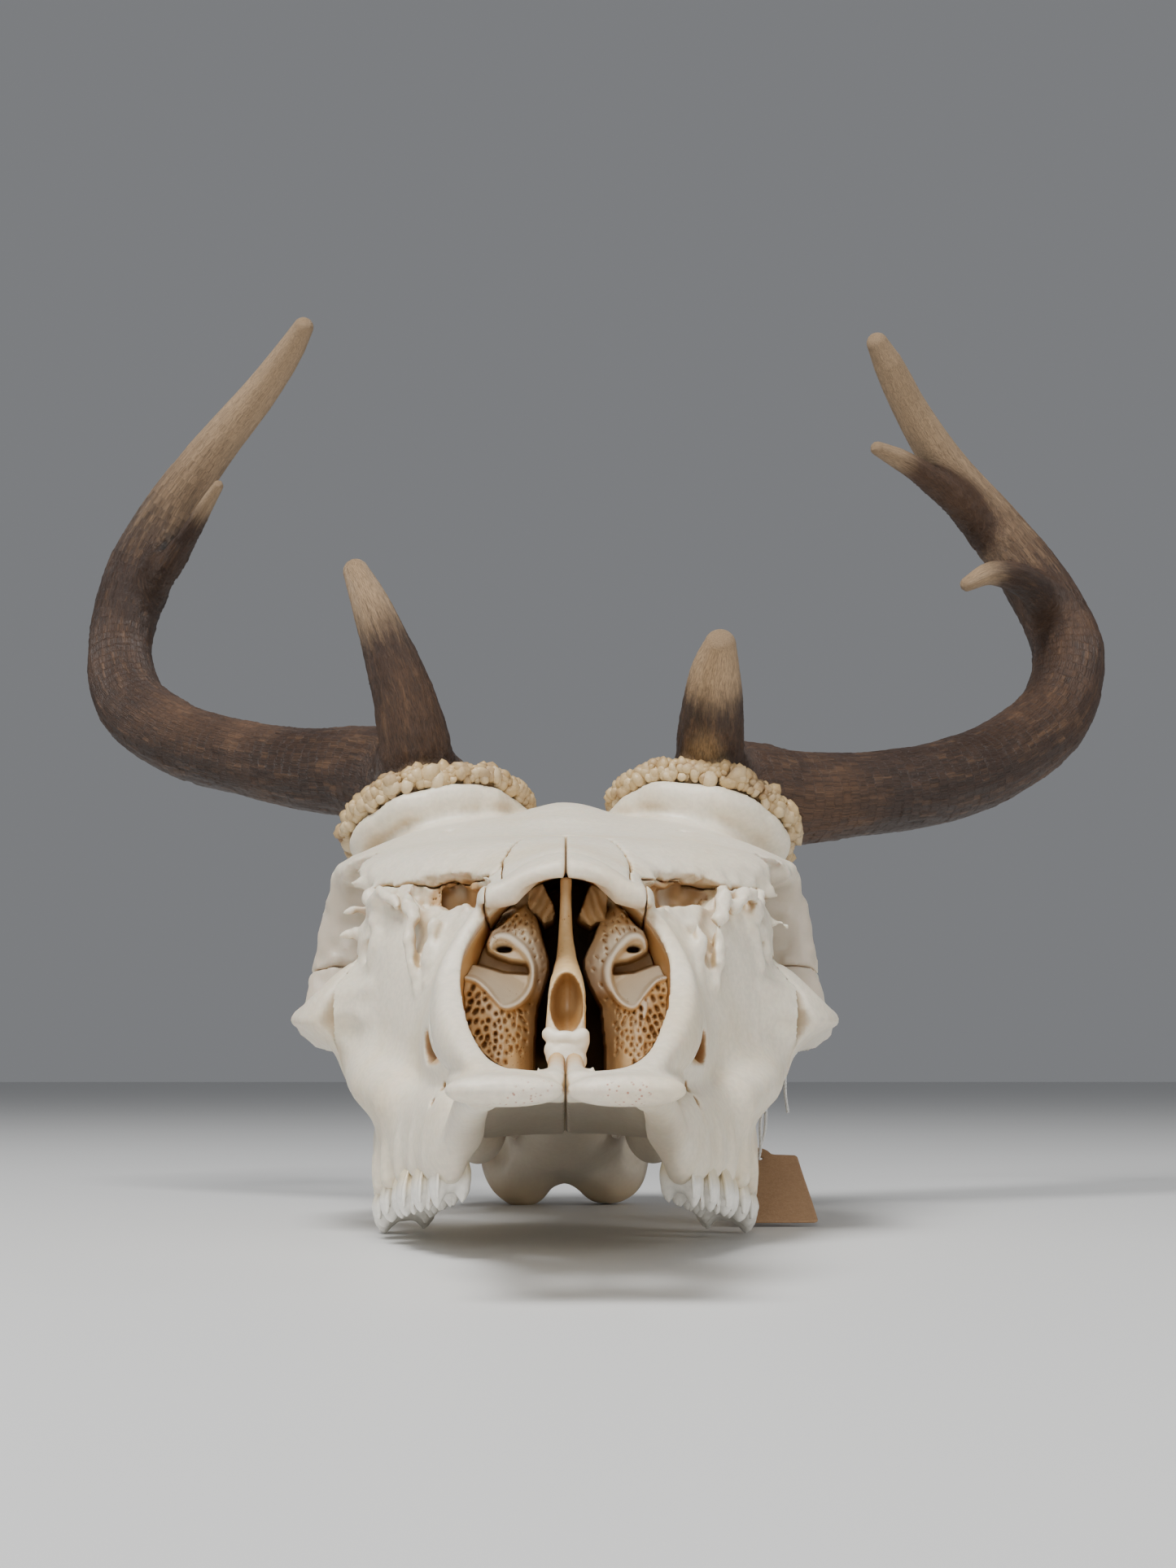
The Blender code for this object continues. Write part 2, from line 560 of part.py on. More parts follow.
def pedicle(name, side):
    """The stem that carries an antler, with a flared rim under the burr."""
    axis = burr_frame(side)[0]
    top = np.array(BURR_CENTRE[name]) - axis * (BURR_THICK - 1.0)
    rows = turned([PEDICLE_ROOT], side)
    rows += [(*(top - axis * below), radius) for below, radius in PEDICLE_FLARE]
    return round_sweep("pedicle", rows, 7, 16, blunt=False)


def skull_solids():
    """The closed shapes that add up to the whole upper skull."""
    parts = [
        egg_loft("roof", ROOF),
        egg_loft("braincase", BRAINCASE),
        side_loft("basioccipital", BASIOCCIPITAL, 1),
        round_sweep("crest", NUCHAL_CREST, 9, 8, blunt=False),
        round_sweep("sagittal rise", SAGITTAL_RISE, 5, 10),
        round_sweep("brow rise", BROW_RISE, 6, 12),
    ]
    for name, side in SIDES:
        parts += [
            side_loft("paddle", PADDLE, side, 5.0, 12, (1.9, 1.9)),
            side_loft("alveolus", ALVEOLUS, side),
            side_loft("pterygoid", PTERYGOID, side),
            side_loft("arch", ARCH, side, 8.5, 12, ARCH_POWERS),
            side_loft("orbit bar", ORBIT_BAR, side, 7.0, 10, (2.3, 2.3), upright=True),
            ellipsoid("condyle", turned([CONDYLE], side)[0], CONDYLE_RADII),
            ellipsoid("bulla", turned([BULLA], side)[0], BULLA_RADII),
            round_sweep("facial ridge", turned(FACIAL_RIDGE, side), 5, 8),
            round_sweep("paroccipital", turned(PAROCCIPITAL, side), 5, 8),
            pedicle(name, side),
        ]
        parts += tooth_row(side)
    return parts


def burr_frame(side):
    """The direction out of a pedicle, and two directions across it."""
    axis = np.array((side * BURR_AXIS[0], *BURR_AXIS[1:]))
    axis /= np.linalg.norm(axis)
    across = np.cross(axis, (0.0, 1.0, 0.1))
    across /= np.linalg.norm(across)
    return axis, across, np.cross(axis, across)


def block_at_burr(name, side, start, end, half=40.0):
    """A square block between two levels along the axis of a burr."""
    axis, across, other = burr_frame(side)
    corners = [across + other, other - across, -across - other, across - other]
    centre = np.array(BURR_CENTRE[name])
    rings = [[centre + axis * level + half * corner for corner in corners] for level in (start, end)]
    return skin_rings("block", rings)


def skull_hollows():
    """What is carved out of the skull: nose, palate, orbits and foramina."""
    cuts = [
        prism("aperture", APERTURE, "yz", -40, 40),
        egg_loft("nasal cavity", NASAL_CAVITY, 11.0, 16),
        egg_loft("palate vault", PALATE_VAULT, 14.0, 16),
        ellipsoid("foramen magnum", FORAMEN_MAGNUM, FORAMEN_RADII, 16, 8),
        prism("floor", BELOW_FLOOR, "yz", -90, 90),
    ]
    pairs = (
        ("orbit", ORBIT_CENTRE, ORBIT_RADII, 18, 10),
        ("infraorbital foramen", INFRAORBITAL, INFRAORBITAL_RADII, 10, 6),
        ("antorbital gap", ANTORBITAL, ANTORBITAL_RADII, 10, 6),
        ("palatine fissure", PALATINE_FISSURE, PALATINE_RADII, 10, 6),
        ("cheek dimple", CHEEK_DIMPLE, CHEEK_DIMPLE_RADII, 10, 6),
    )
    for name, side in SIDES:
        cuts.append(block_at_burr(name, side, -BURR_THICK - GAP, 20.0, 25.0))
        for label, centre, radii, around, rows in pairs:
            cuts.append(ellipsoid(label, turned([centre], side)[0], radii, around, rows))
    return cuts


def suture_cutters():
    """Thin walls that part the skull into its bones."""
    meeting = FRONTAL_SUTURE[0]
    rear = [*REAR_SUTURE[::-1], *FRONTAL_SUTURE[-2::-1]]
    midline = [(-10, -8), (rear[0][0], -8), *rear, (meeting[0], 110), (-10, 110)]
    inside = ZYGOMATIC_INSIDE - GAP / 2
    both_nasals = list(NASAL_SUTURE) + [(-x, y) for x, y in NASAL_SUTURE[-2::-1]]
    cuts = [
        wall("premaxilla suture", PREMAXILLA_SUTURE, "yz", -60, 60),
        wall("frontal suture", FRONTAL_SUTURE, "yz", -90, 90),
        wall("rear suture", REAR_SUTURE, "yz", -inside, inside),
        wall("nasal suture", both_nasals, "xy", 55, 105),
        prism("midline", midline, "yz", -GAP / 2, GAP / 2),
        prism("nasal midline", NASAL_MIDLINE, "yz", -GAP / 2, GAP / 2),
    ]
    for _, side in SIDES:
        near, far = sorted((side * NASAL_EDGE_AT_FRONTAL, side * 90))
        cuts.append(wall("frontal process", (meeting, (meeting[0], 102)), "yz", near, far))
        cuts.append(zygomatic_cutter(side))
    return cuts


def skull_landmarks():
    """A place on each bone of the skull, by which its piece is known."""
    marks = {"cranium": (0, 225, 91)}
    for name, side in SIDES:
        marks[f"nasal_{name}"] = (side * 6, 80, 70)
        marks[f"maxilla_{name}"] = (side * 27, 104, 38)
        marks[f"premaxilla_{name}"] = (side * 9, -1, 31)
        marks[f"zygomatic_{name}"] = (side * 60, 184, 43)
    return marks


def name_islands(whole, landmarks, look):
    """Gives each loose piece the name of the landmark nearest to it and drops the scraps."""
    pieces = islands_of(whole)
    bpy.data.objects.remove(whole)
    made = []
    for name, landmark in landmarks.items():
        solid = [piece for piece in pieces if volume_of(*piece) > 8.0]
        nearest = min(solid, key=lambda piece: np.linalg.norm(piece[0] - landmark, axis=1).min())
        node = object_from(name, *nearest)
        node.data.materials.append(look)
        made.append(node)
    return made


def build_skull(look):
    parts = skull_solids()
    whole = use_boolean(egg_loft("skull", MUZZLE), "UNION", parts, "MANIFOLD")
    whole = use_boolean(whole, "DIFFERENCE", skull_hollows(), "MANIFOLD")
    whole = keep_largest(whole)
    whole = use_boolean(whole, "DIFFERENCE", suture_cutters(), "MANIFOLD")
    return name_islands(whole, skull_landmarks(), look)


def sheet(name, lines, start, end, steps=4):
    """Thick lines across the nose, swept along it as wide as it is, and joined into one body."""
    places = np.linspace(start, end, steps)
    widths = smooth_table(NASAL_CAVITY, places)[:, 0]
    solids = []
    for line in lines:
        fine = path_through([(x, z, 0) for x, z in line], 2 * len(line) - 1)[:, :2]
        along = np.gradient(fine, axis=0)
        along /= np.linalg.norm(along, axis=1)[:, None]
        normal = np.stack([-along[:, 1], along[:, 0]], axis=1) * SCROLL_THICK / 2
        loop = np.vstack([fine + normal, (fine - normal)[::-1]])
        rings = []
        for y, stretch in zip(places, widths / widths[0]):
            rings.append(np.stack([loop[:, 0] * stretch, np.full(len(loop), y), loop[:, 1]], axis=1))
        solids.append(skin_rings(name, rings))
    first = solids.pop(0)
    return use_boolean(first, "UNION", solids) if solids else first


def flipped(lines, side):
    return [[(side * x, z) for x, z in line] for line in lines]


def build_turbinates(look):
    """The scrolled bones that stand in the nose, and the vomer between them."""
    for name, side in SIDES:
        rolls = flipped((SHELF, SCROLL, LOWER_CURL), side)
        ventral = keep_largest(sheet(f"ventral_turbinate_{name}", rolls, VENTRAL_FROM, VENTRAL_TO))
        curl = flipped((UPPER_SCROLL,), side)
        dorsal = sheet(f"dorsal_turbinate_{name}", curl, DORSAL_FROM, DORSAL_TO)
        for body in (ventral, dorsal):
            body.data.materials.append(look)
    build_vomer().data.materials.append(look)


def build_vomer():
    """A foot on the floor of the nose that carries a thin upright plate."""
    places = np.linspace(VOMER_FROM, VOMER_TO, 11)
    rows = smooth_table(NASAL_CAVITY, places)
    floor = rows[:, 1] - rows[:, 3] + 3 * GAP
    top = VOMER_TOP_START + (places - VOMER_FROM) * VOMER_TOP_SLOPE
    top = np.minimum(top, rows[:, 1] + rows[:, 2] - 4 * GAP)
    waist = floor + np.minimum(5.0, (top - floor) / 2)
    foot, middle, plate = VOMER_HALVES
    rings = []
    for y, low, mid, high in zip(places, floor, waist, top):
        half = [(foot, low), (middle, mid), (plate, mid + 2), (plate, high)]
        rings.append([(x, y, z) for x, z in half] + [(-x, y, z) for x, z in half[::-1]])
    return skin_rings("vomer", rings)


def burr(name, side):
    """The beaded ring at the foot of an antler, with its flat side on the pedicle."""
    around = BURR_BEADS * 2
    angle = np.arange(around) * 2 * math.pi / around
    bead = BURR_BEAD * (0.5 + 0.5 * np.cos(angle * BURR_BEADS))
    axis, across, other = burr_frame(side)
    centre = np.array(BURR_CENTRE[name])
    rings = []
    for level, radius, share in BURR_PROFILE:
        reach = BURR_RADIUS * radius + bead * share
        ring = centre + axis * level * BURR_THICK
        outwards = np.cos(angle)[:, None] * across + np.sin(angle)[:, None] * other
        rings.append(ring + reach[:, None] * outwards)
    return skin_rings("burr", rings)


def cut_across(points, share, radius, count=200):
    """A disc as thick as the gap, across a line at a share of its length."""
    line = path_through(points, count)[:, :3]
    tangents, first, second = frames_along(line)
    k = round(share * (count - 1))
    angle = np.arange(20) * 2 * math.pi / 20
    disc = radius * (np.cos(angle)[:, None] * first[k] + np.sin(angle)[:, None] * second[k])
    rings = [line[k] + tangents[k] * shift + disc for shift in (-GAP / 2, GAP / 2)]
    return skin_rings("cut", rings), line[min(count - 1, k + count // 14)]


def build_antler(name, side, dark, pale):
    """One antler, modelled whole and split at its forks."""
    beam, tines = BEAM[name], TINES[name]
    parts = [round_sweep("beam", beam, 24, 12)]
    parts += [round_sweep(tine, points, 8, 8) for tine, points in tines.items()]
    whole = use_boolean(burr(name, side), "UNION", parts, "MANIFOLD")
    below = block_at_burr(name, side, -BURR_THICK - 30.0, -BURR_THICK)
    whole = keep_largest(use_boolean(whole, "DIFFERENCE", [below], "MANIFOLD"))
    cutters, landmarks = [], {f"antler_{name}_base": BURR_CENTRE[name]}
    for part, share in BEAM_FORKS[name]:
        cutter, beyond = cut_across(beam, share, 20.0)
        cutters.append(cutter)
        landmarks[f"antler_{name}_{part}"] = beyond
    for tine, points in tines.items():
        cutter, _ = cut_across(points, *TINE_CUTS[name][tine])
        cutters.append(cutter)
        landmarks[f"antler_{name}_{tine}"] = points[-1][:3]
    whole = use_boolean(whole, "DIFFERENCE", cutters, "MANIFOLD")
    for node in name_islands(whole, landmarks, dark):
        if node.name.endswith("tip"):
            node.data.materials[0] = pale


def tag_frame():
    """The tag's foot, and its directions across, up along the paper and out of it."""
    turn, lean = TAG_TURN, TAG_LEAN
    across = np.array((math.cos(turn), math.sin(turn), 0.0))
    back = np.array((-math.sin(turn), math.cos(turn), 0.0))
    up = back * math.cos(lean) + np.array((0, 0, math.sin(lean)))
    return np.array(TAG_FOOT), across, up, np.cross(across, up)


def build_tag(look):
    """A small paper tag with cut shoulders, a round tab and a hole."""
    foot, across, up, out = tag_frame()
    half, tall = TAG_WIDTH / 2, TAG_LENGTH
    tab = []
    for angle in np.linspace(0.1, math.pi - 0.1, 9):
        tab.append((TAG_NECK * math.cos(angle), tall - TAG_TAB * 0.2 + TAG_TAB * math.sin(angle)))
    shoulder, (inwards, down) = tall - TAG_CORNER, TAG_CUT
    outline = [(-half, 0), (half, 0), (half, shoulder - down), (half - inwards, shoulder)]
    outline += tab + [(inwards - half, shoulder), (-half, shoulder - down)]
    sheet_rings = [[foot + across * x + up * v + out * t for x, v in outline] for t in (0.0, TAG_THICK)]
    tag = skin_rings("tag", sheet_rings)
    hole = foot + up * (tall - HOLE_BACK) + out * TAG_THICK / 2
    angle = np.arange(16) * 2 * math.pi / 16
    ring = HOLE_RADIUS * (np.cos(angle)[:, None] * across + np.sin(angle)[:, None] * up)
    drill = skin_rings("hole", [hole + ring - out * 2, hole + ring + out * 2])
    use_boolean(tag, "DIFFERENCE", [drill]).data.materials.append(look)
    return hole, out


def string_route(hole, out):
    """Two loose ends, a turn round the arch and a loop through the tag's hole."""
    return [
        (52.2, 214.6, 23.5), (51.6, 214.2, 29.0), (51.9, 213.6, 34.0), (55.6, 213.0, 40.0),
        (56.4, 212.6, 45.5), (53.6, 212.4, 50.6), (50.3, 212.2, 50.2), (47.4, 212.0, 44.5),
        (47.0, 211.6, 38.5), (48.0, 210.6, 33.5), tuple(hole + out * 4.5 + (0.6, 4.0, 3.5)),
        tuple(hole + out * 1.2 + (0.25, 0, 0)), tuple(hole), tuple(hole - out * 1.4 + (-0.3, 0.8, 0.4)),
        (45.9, 203.0, 20.0), (46.1, 209.4, 28.5), (45.2, 212.6, 31.0),
        (44.7, 214.4, 27.5), (44.9, 215.2, 22.0),
    ]


def build_string(look, hole, out):
    line = path_through(string_route(hole, out), 46)
    curve = bpy.data.curves.new("tag_string", "CURVE")
    curve.dimensions = "3D"
    curve.bevel_depth = STRING_RADIUS * MM
    curve.bevel_resolution = 1
    curve.use_fill_caps = True
    spline = curve.splines.new("POLY")
    spline.points.add(len(line) - 1)
    for point, place in zip(spline.points, line):
        point.co = (*(place * MM), 1.0)
    curve.materials.append(look)
    made = bpy.data.objects.new("tag_string", curve)
    bpy.context.scene.collection.objects.link(made)


def centre_on_floor():
    """Moves every node so that the bone's box is centred over the origin."""
    bones = [o for o in bpy.data.objects if o.type == "MESH" and o.name != "tag"]
    points = np.vstack([np.array([v.co for v in o.data.vertices]) for o in bones])
    middle = (points.min(axis=0) + points.max(axis=0)) / 2
    for node in bpy.data.objects:
        if node.type == "MESH":
            for vertex in node.data.vertices:
                vertex.co.x -= middle[0]
                vertex.co.y -= middle[1]
        else:
            for point in node.data.splines[0].points:
                point.co.x -= middle[0]
                point.co.y -= middle[1]


def shade():
    """Smooth faces, with the sharper edges kept."""
    for node in bpy.data.objects:
        if node.type == "MESH":
            node.data.shade_smooth()
            node.data.set_sharp_from_angle(angle=SHARP_FROM)


for leftover in list(bpy.data.objects):
    bpy.data.objects.remove(leftover)
bone = material("bone", BONE)
thin_bone = material("thin bone", TURBINATE)
dark_antler = material("antler", ANTLER)
pale_antler = material("antler tip", ANTLER_TIP)
build_skull(bone)
build_turbinates(thin_bone)
for antler_name, antler_side in SIDES:
    build_antler(antler_name, antler_side, dark_antler, pale_antler)
tag_hole, tag_out = build_tag(material("kraft paper", KRAFT))
build_string(material("white string", STRING), tag_hole, tag_out)
centre_on_floor()
shade()
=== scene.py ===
"""The look of a white-tailed deer buck's skull with antlers, lying on a pale floor.

Lengths are in millimetres, in the skull's own frame, until a mesh is made: the nose
points to -Y, +X is the animal's left, and y = 0 is at the tip of the muzzle.
"""

import math

import bpy
import numpy as np
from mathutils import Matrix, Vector


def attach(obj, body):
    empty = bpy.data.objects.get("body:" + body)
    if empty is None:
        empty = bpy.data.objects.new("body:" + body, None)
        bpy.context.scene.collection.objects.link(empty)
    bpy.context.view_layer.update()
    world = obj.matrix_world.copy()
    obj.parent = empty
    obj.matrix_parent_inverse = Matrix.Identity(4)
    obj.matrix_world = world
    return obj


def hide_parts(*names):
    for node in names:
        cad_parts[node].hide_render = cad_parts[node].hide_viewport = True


MM = 0.001
SHIFT = np.array((8.39723688, 164.09221085, 0.0))
SIDES = (("left", 1), ("right", -1))
FAR = 50.0
SUTURE = 0.16
# How finely each part is modelled
FINE_STEP, COARSE_STEP, ANTLER_STEP = 0.6, 0.9, 0.75
ROLL_STEP, FLAP_STEP, VOMER_STEP, TOOTH_STEP, TAG_STEP = 0.22, 0.26, 0.42, 0.36, 0.3

# Sections of the skull: y, half width, height of the widest line, rise above it, drop
# below it, and the powers that round the upper and the lower half
MUZZLE = (
    (8, 10.0, 31.8, 2.6, 1.8, 2.0, 2.0),
    (13, 13.6, 32.5, 6.0, 3.2, 2.0, 2.2),
    (22, 16.6, 35.0, 9.0, 6.2, 2.0, 2.2),
    (38, 21.6, 39.5, 17.0, 11.2, 1.9, 2.3),
    (48, 22.7, 42.0, 24.5, 13.8, 1.85, 2.3),
    (57, 21.6, 43.5, 26.7, 15.3, 1.8, 2.3),
    (67, 19.4, 43.5, 27.5, 15.4, 1.85, 2.5),
    (78, 20.0, 42.0, 29.5, 14.6, 1.8, 2.8),
    (86, 23.4, 41.0, 31.0, 15.0, 1.7, 2.8),
    (94, 25.8, 40.0, 33.0, 16.5, 1.6, 2.8),
    (104, 27.2, 39.5, 34.5, 18.5, 1.6, 2.8),
    (116, 29.5, 39.5, 36.0, 20.0, 1.7, 2.7),
    (126, 34.0, 40.0, 37.0, 21.0, 2.1, 2.7),
    (136, 39.0, 42.0, 37.5, 22.0, 3.0, 2.7),
    (146, 42.5, 45.0, 35.5, 24.0, 4.0, 2.6),
    (155, 44.0, 47.0, 34.0, 26.0, 4.4, 2.6),
    (164, 42.0, 48.0, 29.0, 26.0, 3.0, 2.4),
)
ROOF = (
    (112, 14.0, 67.0, 8.0, 6.0, 1.6, 2.0),
    (126, 22.0, 69.0, 8.5, 6.0, 1.9, 2.0),
    (140, 32.0, 72.0, 8.0, 6.5, 2.2, 2.0),
    (155, 43.0, 74.0, 8.5, 6.0, 2.4, 2.2),
    (172, 47.5, 76.5, 8.5, 5.5, 2.0, 2.4),
    (188, 51.0, 77.5, 12.0, 5.5, 1.9, 2.4),
    (203, 51.0, 77.5, 15.5, 7.0, 1.9, 2.2),
    (216, 45.0, 76.0, 17.5, 12.0, 2.2, 2.0),
    (230, 40.0, 70.0, 21.0, 18.0, 2.4, 2.0),
)
BRAINCASE = (
    (150, 20.0, 58.0, 15.0, 22.0, 2.0, 2.0),
    (170, 21.0, 56.0, 20.0, 24.0, 2.0, 2.0),
    (190, 26.0, 55.0, 27.0, 27.0, 2.0, 2.0),
    (210, 34.0, 54.0, 33.0, 29.0, 2.1, 2.2),
    (228, 38.5, 52.5, 38.0, 29.0, 2.2, 2.3),
    (245, 38.5, 50.0, 35.5, 27.0, 2.2, 2.3),
    (258, 36.0, 48.0, 28.0, 24.0, 2.2, 2.3),
    (267, 31.0, 46.0, 22.0, 19.0, 2.2, 2.2),
    (272, 21.0, 45.0, 17.0, 15.0, 2.0, 2.0),
)
NASAL_CAVITY = (
    (3, 7.5, 36.5, 5.0, 3.2, 2.0, 3.4),
    (12, 10.9, 38.0, 7.0, 4.7, 2.0, 3.6),
    (22, 13.2, 39.0, 10.0, 6.2, 2.0, 3.0),
    (38, 16.8, 42.0, 15.0, 10.0, 1.9, 2.6),
    (52, 19.0, 44.0, 21.8, 13.0, 1.9, 2.4),
    (62, 17.8, 45.0, 21.6, 13.2, 1.9, 2.3),
    (72, 16.8, 45.0, 22.4, 13.0, 1.8, 2.3),
    (84, 18.6, 45.0, 23.4, 13.0, 1.7, 2.2),
    (100, 20.6, 46.0, 23.5, 14.0, 1.6, 2.2),
    (120, 18.5, 48.0, 23.5, 17.0, 1.6, 2.2),
    (140, 14.0, 52.0, 20.0, 16.0, 1.8, 2.0),
    (152, 10.0, 56.0, 15.0, 12.0, 2.0, 2.0),
    (160, 5.0, 58.0, 6.0, 6.0, 2.0, 2.0),
)
PALATE_VAULT = (
    (70, 10.0, 12.0, 14.6, 14.0, 2.4, 2.0),
    (78, 16.6, 11.0, 18.0, 16.0, 2.5, 2.0),
    (86, 18.6, 9.0, 20.4, 16.0, 2.6, 2.0),
    (100, 20.2, 8.0, 19.4, 16.0, 2.6, 2.0),
    (118, 22.0, 6.0, 18.4, 16.0, 2.3, 2.0),
    (145, 25.4, 0.5, 18.0, 16.0, 2.2, 2.0),
    (165, 26.5, -1.0, 20.0, 16.0, 2.2, 2.0),
    (178, 27.0, -1.0, 24.0, 16.0, 2.2, 2.0),
)
# Parts of one side, with their own centre: y, half width, z, rise, drop, x
PADDLE = (
    (-0.9, 5.0, 30.5, 0.8, 0.8, 8.6),
    (0.3, 7.6, 30.5, 1.8, 1.7, 8.9),
    (3.2, 8.5, 30.5, 2.3, 2.3, 9.0),
    (9.0, 8.2, 30.6, 2.5, 2.4, 9.0),
    (18.0, 7.2, 30.8, 2.6, 2.6, 10.2),
    (32.0, 5.0, 31.5, 2.6, 3.0, 14.0),
)
ALVEOLUS = (
    (74, 1.6, 21.0, 6.0, 4.0, 18.6),
    (80, 3.4, 19.6, 9.0, 5.8, 20.0),
    (95, 4.8, 19.0, 11.0, 6.0, 23.5),
    (115, 5.6, 19.0, 11.0, 7.3, 28.6),
    (140, 6.2, 18.0, 11.0, 8.5, 32.4),
    (158, 6.4, 17.0, 11.0, 8.7, 33.4),
    (168, 4.5, 18.0, 8.0, 7.0, 33.2),
)
PTERYGOID = (
    (158, 2.0, 28.0, 8.0, 7.0, 13.0),
    (180, 1.5, 29.0, 10.0, 11.0, 11.5),
    (200, 1.5, 29.0, 10.0, 10.0, 11.0),
    (212, 1.5, 28.0, 8.0, 5.0, 12.0),
)
BASIOCCIPITAL = (
    (196, 9.0, 27.0, 8.0, 5.0, 0.0),
    (222, 11.0, 24.0, 9.0, 9.0, 0.0),
    (240, 14.0, 21.0, 10.0, 13.0, 0.0),
    (252, 15.0, 20.0, 10.0, 14.0, 0.0),
    (262, 14.0, 22.0, 10.0, 9.0, 0.0),
)
ARCH = (
    (136, 3.0, 44.0, 7.0, 5.0, 36.0),
    (144, 7.0, 43.4, 9.0, 7.0, 42.0),
    (152, 9.8, 43.4, 12.0, 7.0, 45.4),
    (162, 11.4, 43.6, 8.6, 7.2, 46.8),
    (172, 9.4, 43.8, 5.4, 7.0, 49.2),
    (183, 6.6, 44.2, 5.0, 6.4, 54.2),
    (193, 3.8, 44.0, 5.0, 5.6, 56.4),
    (203, 2.8, 44.0, 6.0, 5.5, 55.8),
    (216, 2.6, 43.0, 6.0, 5.4, 51.4),
    (229, 3.6, 42.0, 6.0, 5.8, 44.4),
    (238, 6.0, 42.0, 7.5, 7.0, 35.5),
)
# Rear bar of each orbit, read upwards: z, half width, y, half depth behind it and before, x
ORBIT_BAR = (
    (42.0, 3.0, 196.0, 7.0, 8.0, 56.6),
    (50.0, 5.4, 199.0, 4.2, 5.0, 53.8),
    (60.0, 7.0, 201.0, 3.2, 4.0, 50.6),
    (70.0, 8.0, 201.0, 4.0, 5.0, 48.0),
    (80.0, 10.0, 198.0, 8.0, 8.0, 43.0),
)
ORBIT_CENTRE, ORBIT_RADII = (50.0, 172.5, 63.5), (26.0, 21.0, 17.0)
FORAMEN_MAGNUM, FORAMEN_RADII = (0.0, 272.0, 27.0), (9.5, 22.0, 9.0)
CONDYLE, CONDYLE_RADII = (11.0, 256.0, 11.8), (10.0, 12.5, 12.1)
BULLA, BULLA_RADII = (21.0, 230.0, 20.0), (7.0, 11.0, 9.0)

# Outlines in the side view (y, z) and from above (x, y)
RIM = ((12, 33.4), (20, 36.2), (29, 40.2), (38, 44.8), (46, 50.0), (52, 56.0), (55.5, 61.0))
PREMAXILLA_SUTURE = ((62, 64), (60.5, 60), (57, 55.5), (51, 48.5), (42, 40.5), (34, 33), (31, 14))
FRONTAL_SUTURE = ((117, 71), (128, 71), (152, 70.6), (157, 62), (160, 46), (167, 32), (173, 18), (174, -6))
NASAL_HALF_PLAN = ((13.6, 20), (13.6, 75), (12.6, 100), (12.5, 122), (8.5, 140), (0, 151))
ZYGOMATIC_OUTLINE = (
    (150, 57), (147, 48), (149, 37), (158, 27), (195, 27), (220, 33), (208, 53), (192, 59), (170, 57),
)
ZYGOMATIC_INSIDE = 42.0
APERTURE = (*RIM, (51.4, 61.4), (50.6, 66), (52, 110), (-12, 110), (-12, 34.4), (4, 34.4))

# Bars of x, y, z and radius. Those without a middle are drawn for both sides
NUCHAL_CREST = (
    (-31, 266, 54, 3.0), (-24, 270.5, 65, 3.0), (0, 272, 71, 3.4), (24, 270.5, 65, 3.0), (31, 266, 54, 3.0),
)
NASAL_LAPPET = (
    (5.0, 56.0, 67.0, 0.9), (7.2, 54.6, 64.7, 1.4), (9.4, 53.0, 62.6, 1.6), (12.0, 53.0, 62.5, 1.7),
    (12.6, 62, 63.8, 1.6), (12.2, 80, 66, 1.2),
)
OCCIPITAL_CREST = ((0, 269.5, 68, 2.6), (0, 271.0, 56, 2.0), (0, 269.5, 43, 1.8))
BROW_RISE = ((0, 192, 80, 8.0), (0, 212, 85.4, 9.0), (0, 234, 80, 8.0))
LACRIMAL_RIDGES = (
    ((29.5, 119.5, 50, 0.9), (30.6, 121.6, 57, 1.3), (30.4, 123.4, 63, 1.2), (31.8, 128.4, 68, 1.1),
     (31.0, 131.5, 71, 0.9)),
    ((39.6, 139.6, 55, 1.0), (38.4, 138.9, 61, 1.3), (39.8, 142.0, 67, 1.2), (41.0, 146.0, 70, 0.9)),
    ((25.6, 116.0, 50, 0.8), (26.4, 118.4, 57, 1.1), (25.8, 119.4, 62, 0.8)),
    ((34.0, 130.5, 66.5, 1.0), (36.5, 134.5, 68.8, 1.2), (39.0, 140.5, 68.0, 0.9)),
)
DIASTEMA = (
    (13.0, 30, 29.4, 2.4), (15.2, 48, 28.2, 2.8), (16.8, 64, 25.6, 3.2), (18.2, 77, 21.6, 3.6),
    (19.8, 88, 16.6, 3.8),
)
LACRIMAL_HOLLOW = ((46.5, 148, 57.2, 1.6), (42.0, 144, 57.6, 2.2), (38.0, 143, 58.6, 1.6))
CHEEK_CREST = ((39, 138, 50.0, 1.5), (45.0, 145, 48.4, 1.8), (51.5, 154, 46.4, 1.6), (57.0, 165, 44.6, 1.3))
SAGITTAL_RISE = ((0, 238, 82, 6.0), (0, 256, 74, 6.0), (0, 269, 67, 5.0))
PAROCCIPITAL = ((29, 252, 34, 6.0), (28.5, 252, 20, 4.5), (27.5, 250, 7, 2.2))
FACIAL_RIDGE = ((33, 116, 28, 4.0), (38, 134, 31, 5.5), (40.3, 148, 33, 5.2), (41.6, 158, 33.5, 5.0))
MUSCLE_LINE = ((38, 236, 78, 4.0), (34, 252, 72, 3.5), (27, 266, 63, 3.0))
EAR_TUBE = ((30, 236, 32, 4.5), (38, 237, 36, 4.0))
PALATINE_PROCESS = ((1.6, 10, 31.6, 1.7), (1.5, 22, 33.0, 1.5), (1.4, 34, 34.6, 1.5), (1.4, 44, 35.4, 1.3))
PALATINE_SPIKE = ((2.4, 22, 32.6, 0.8), (3.6, 20, 33.2, 0.5), (4.2, 19, 33.6, 0.3))
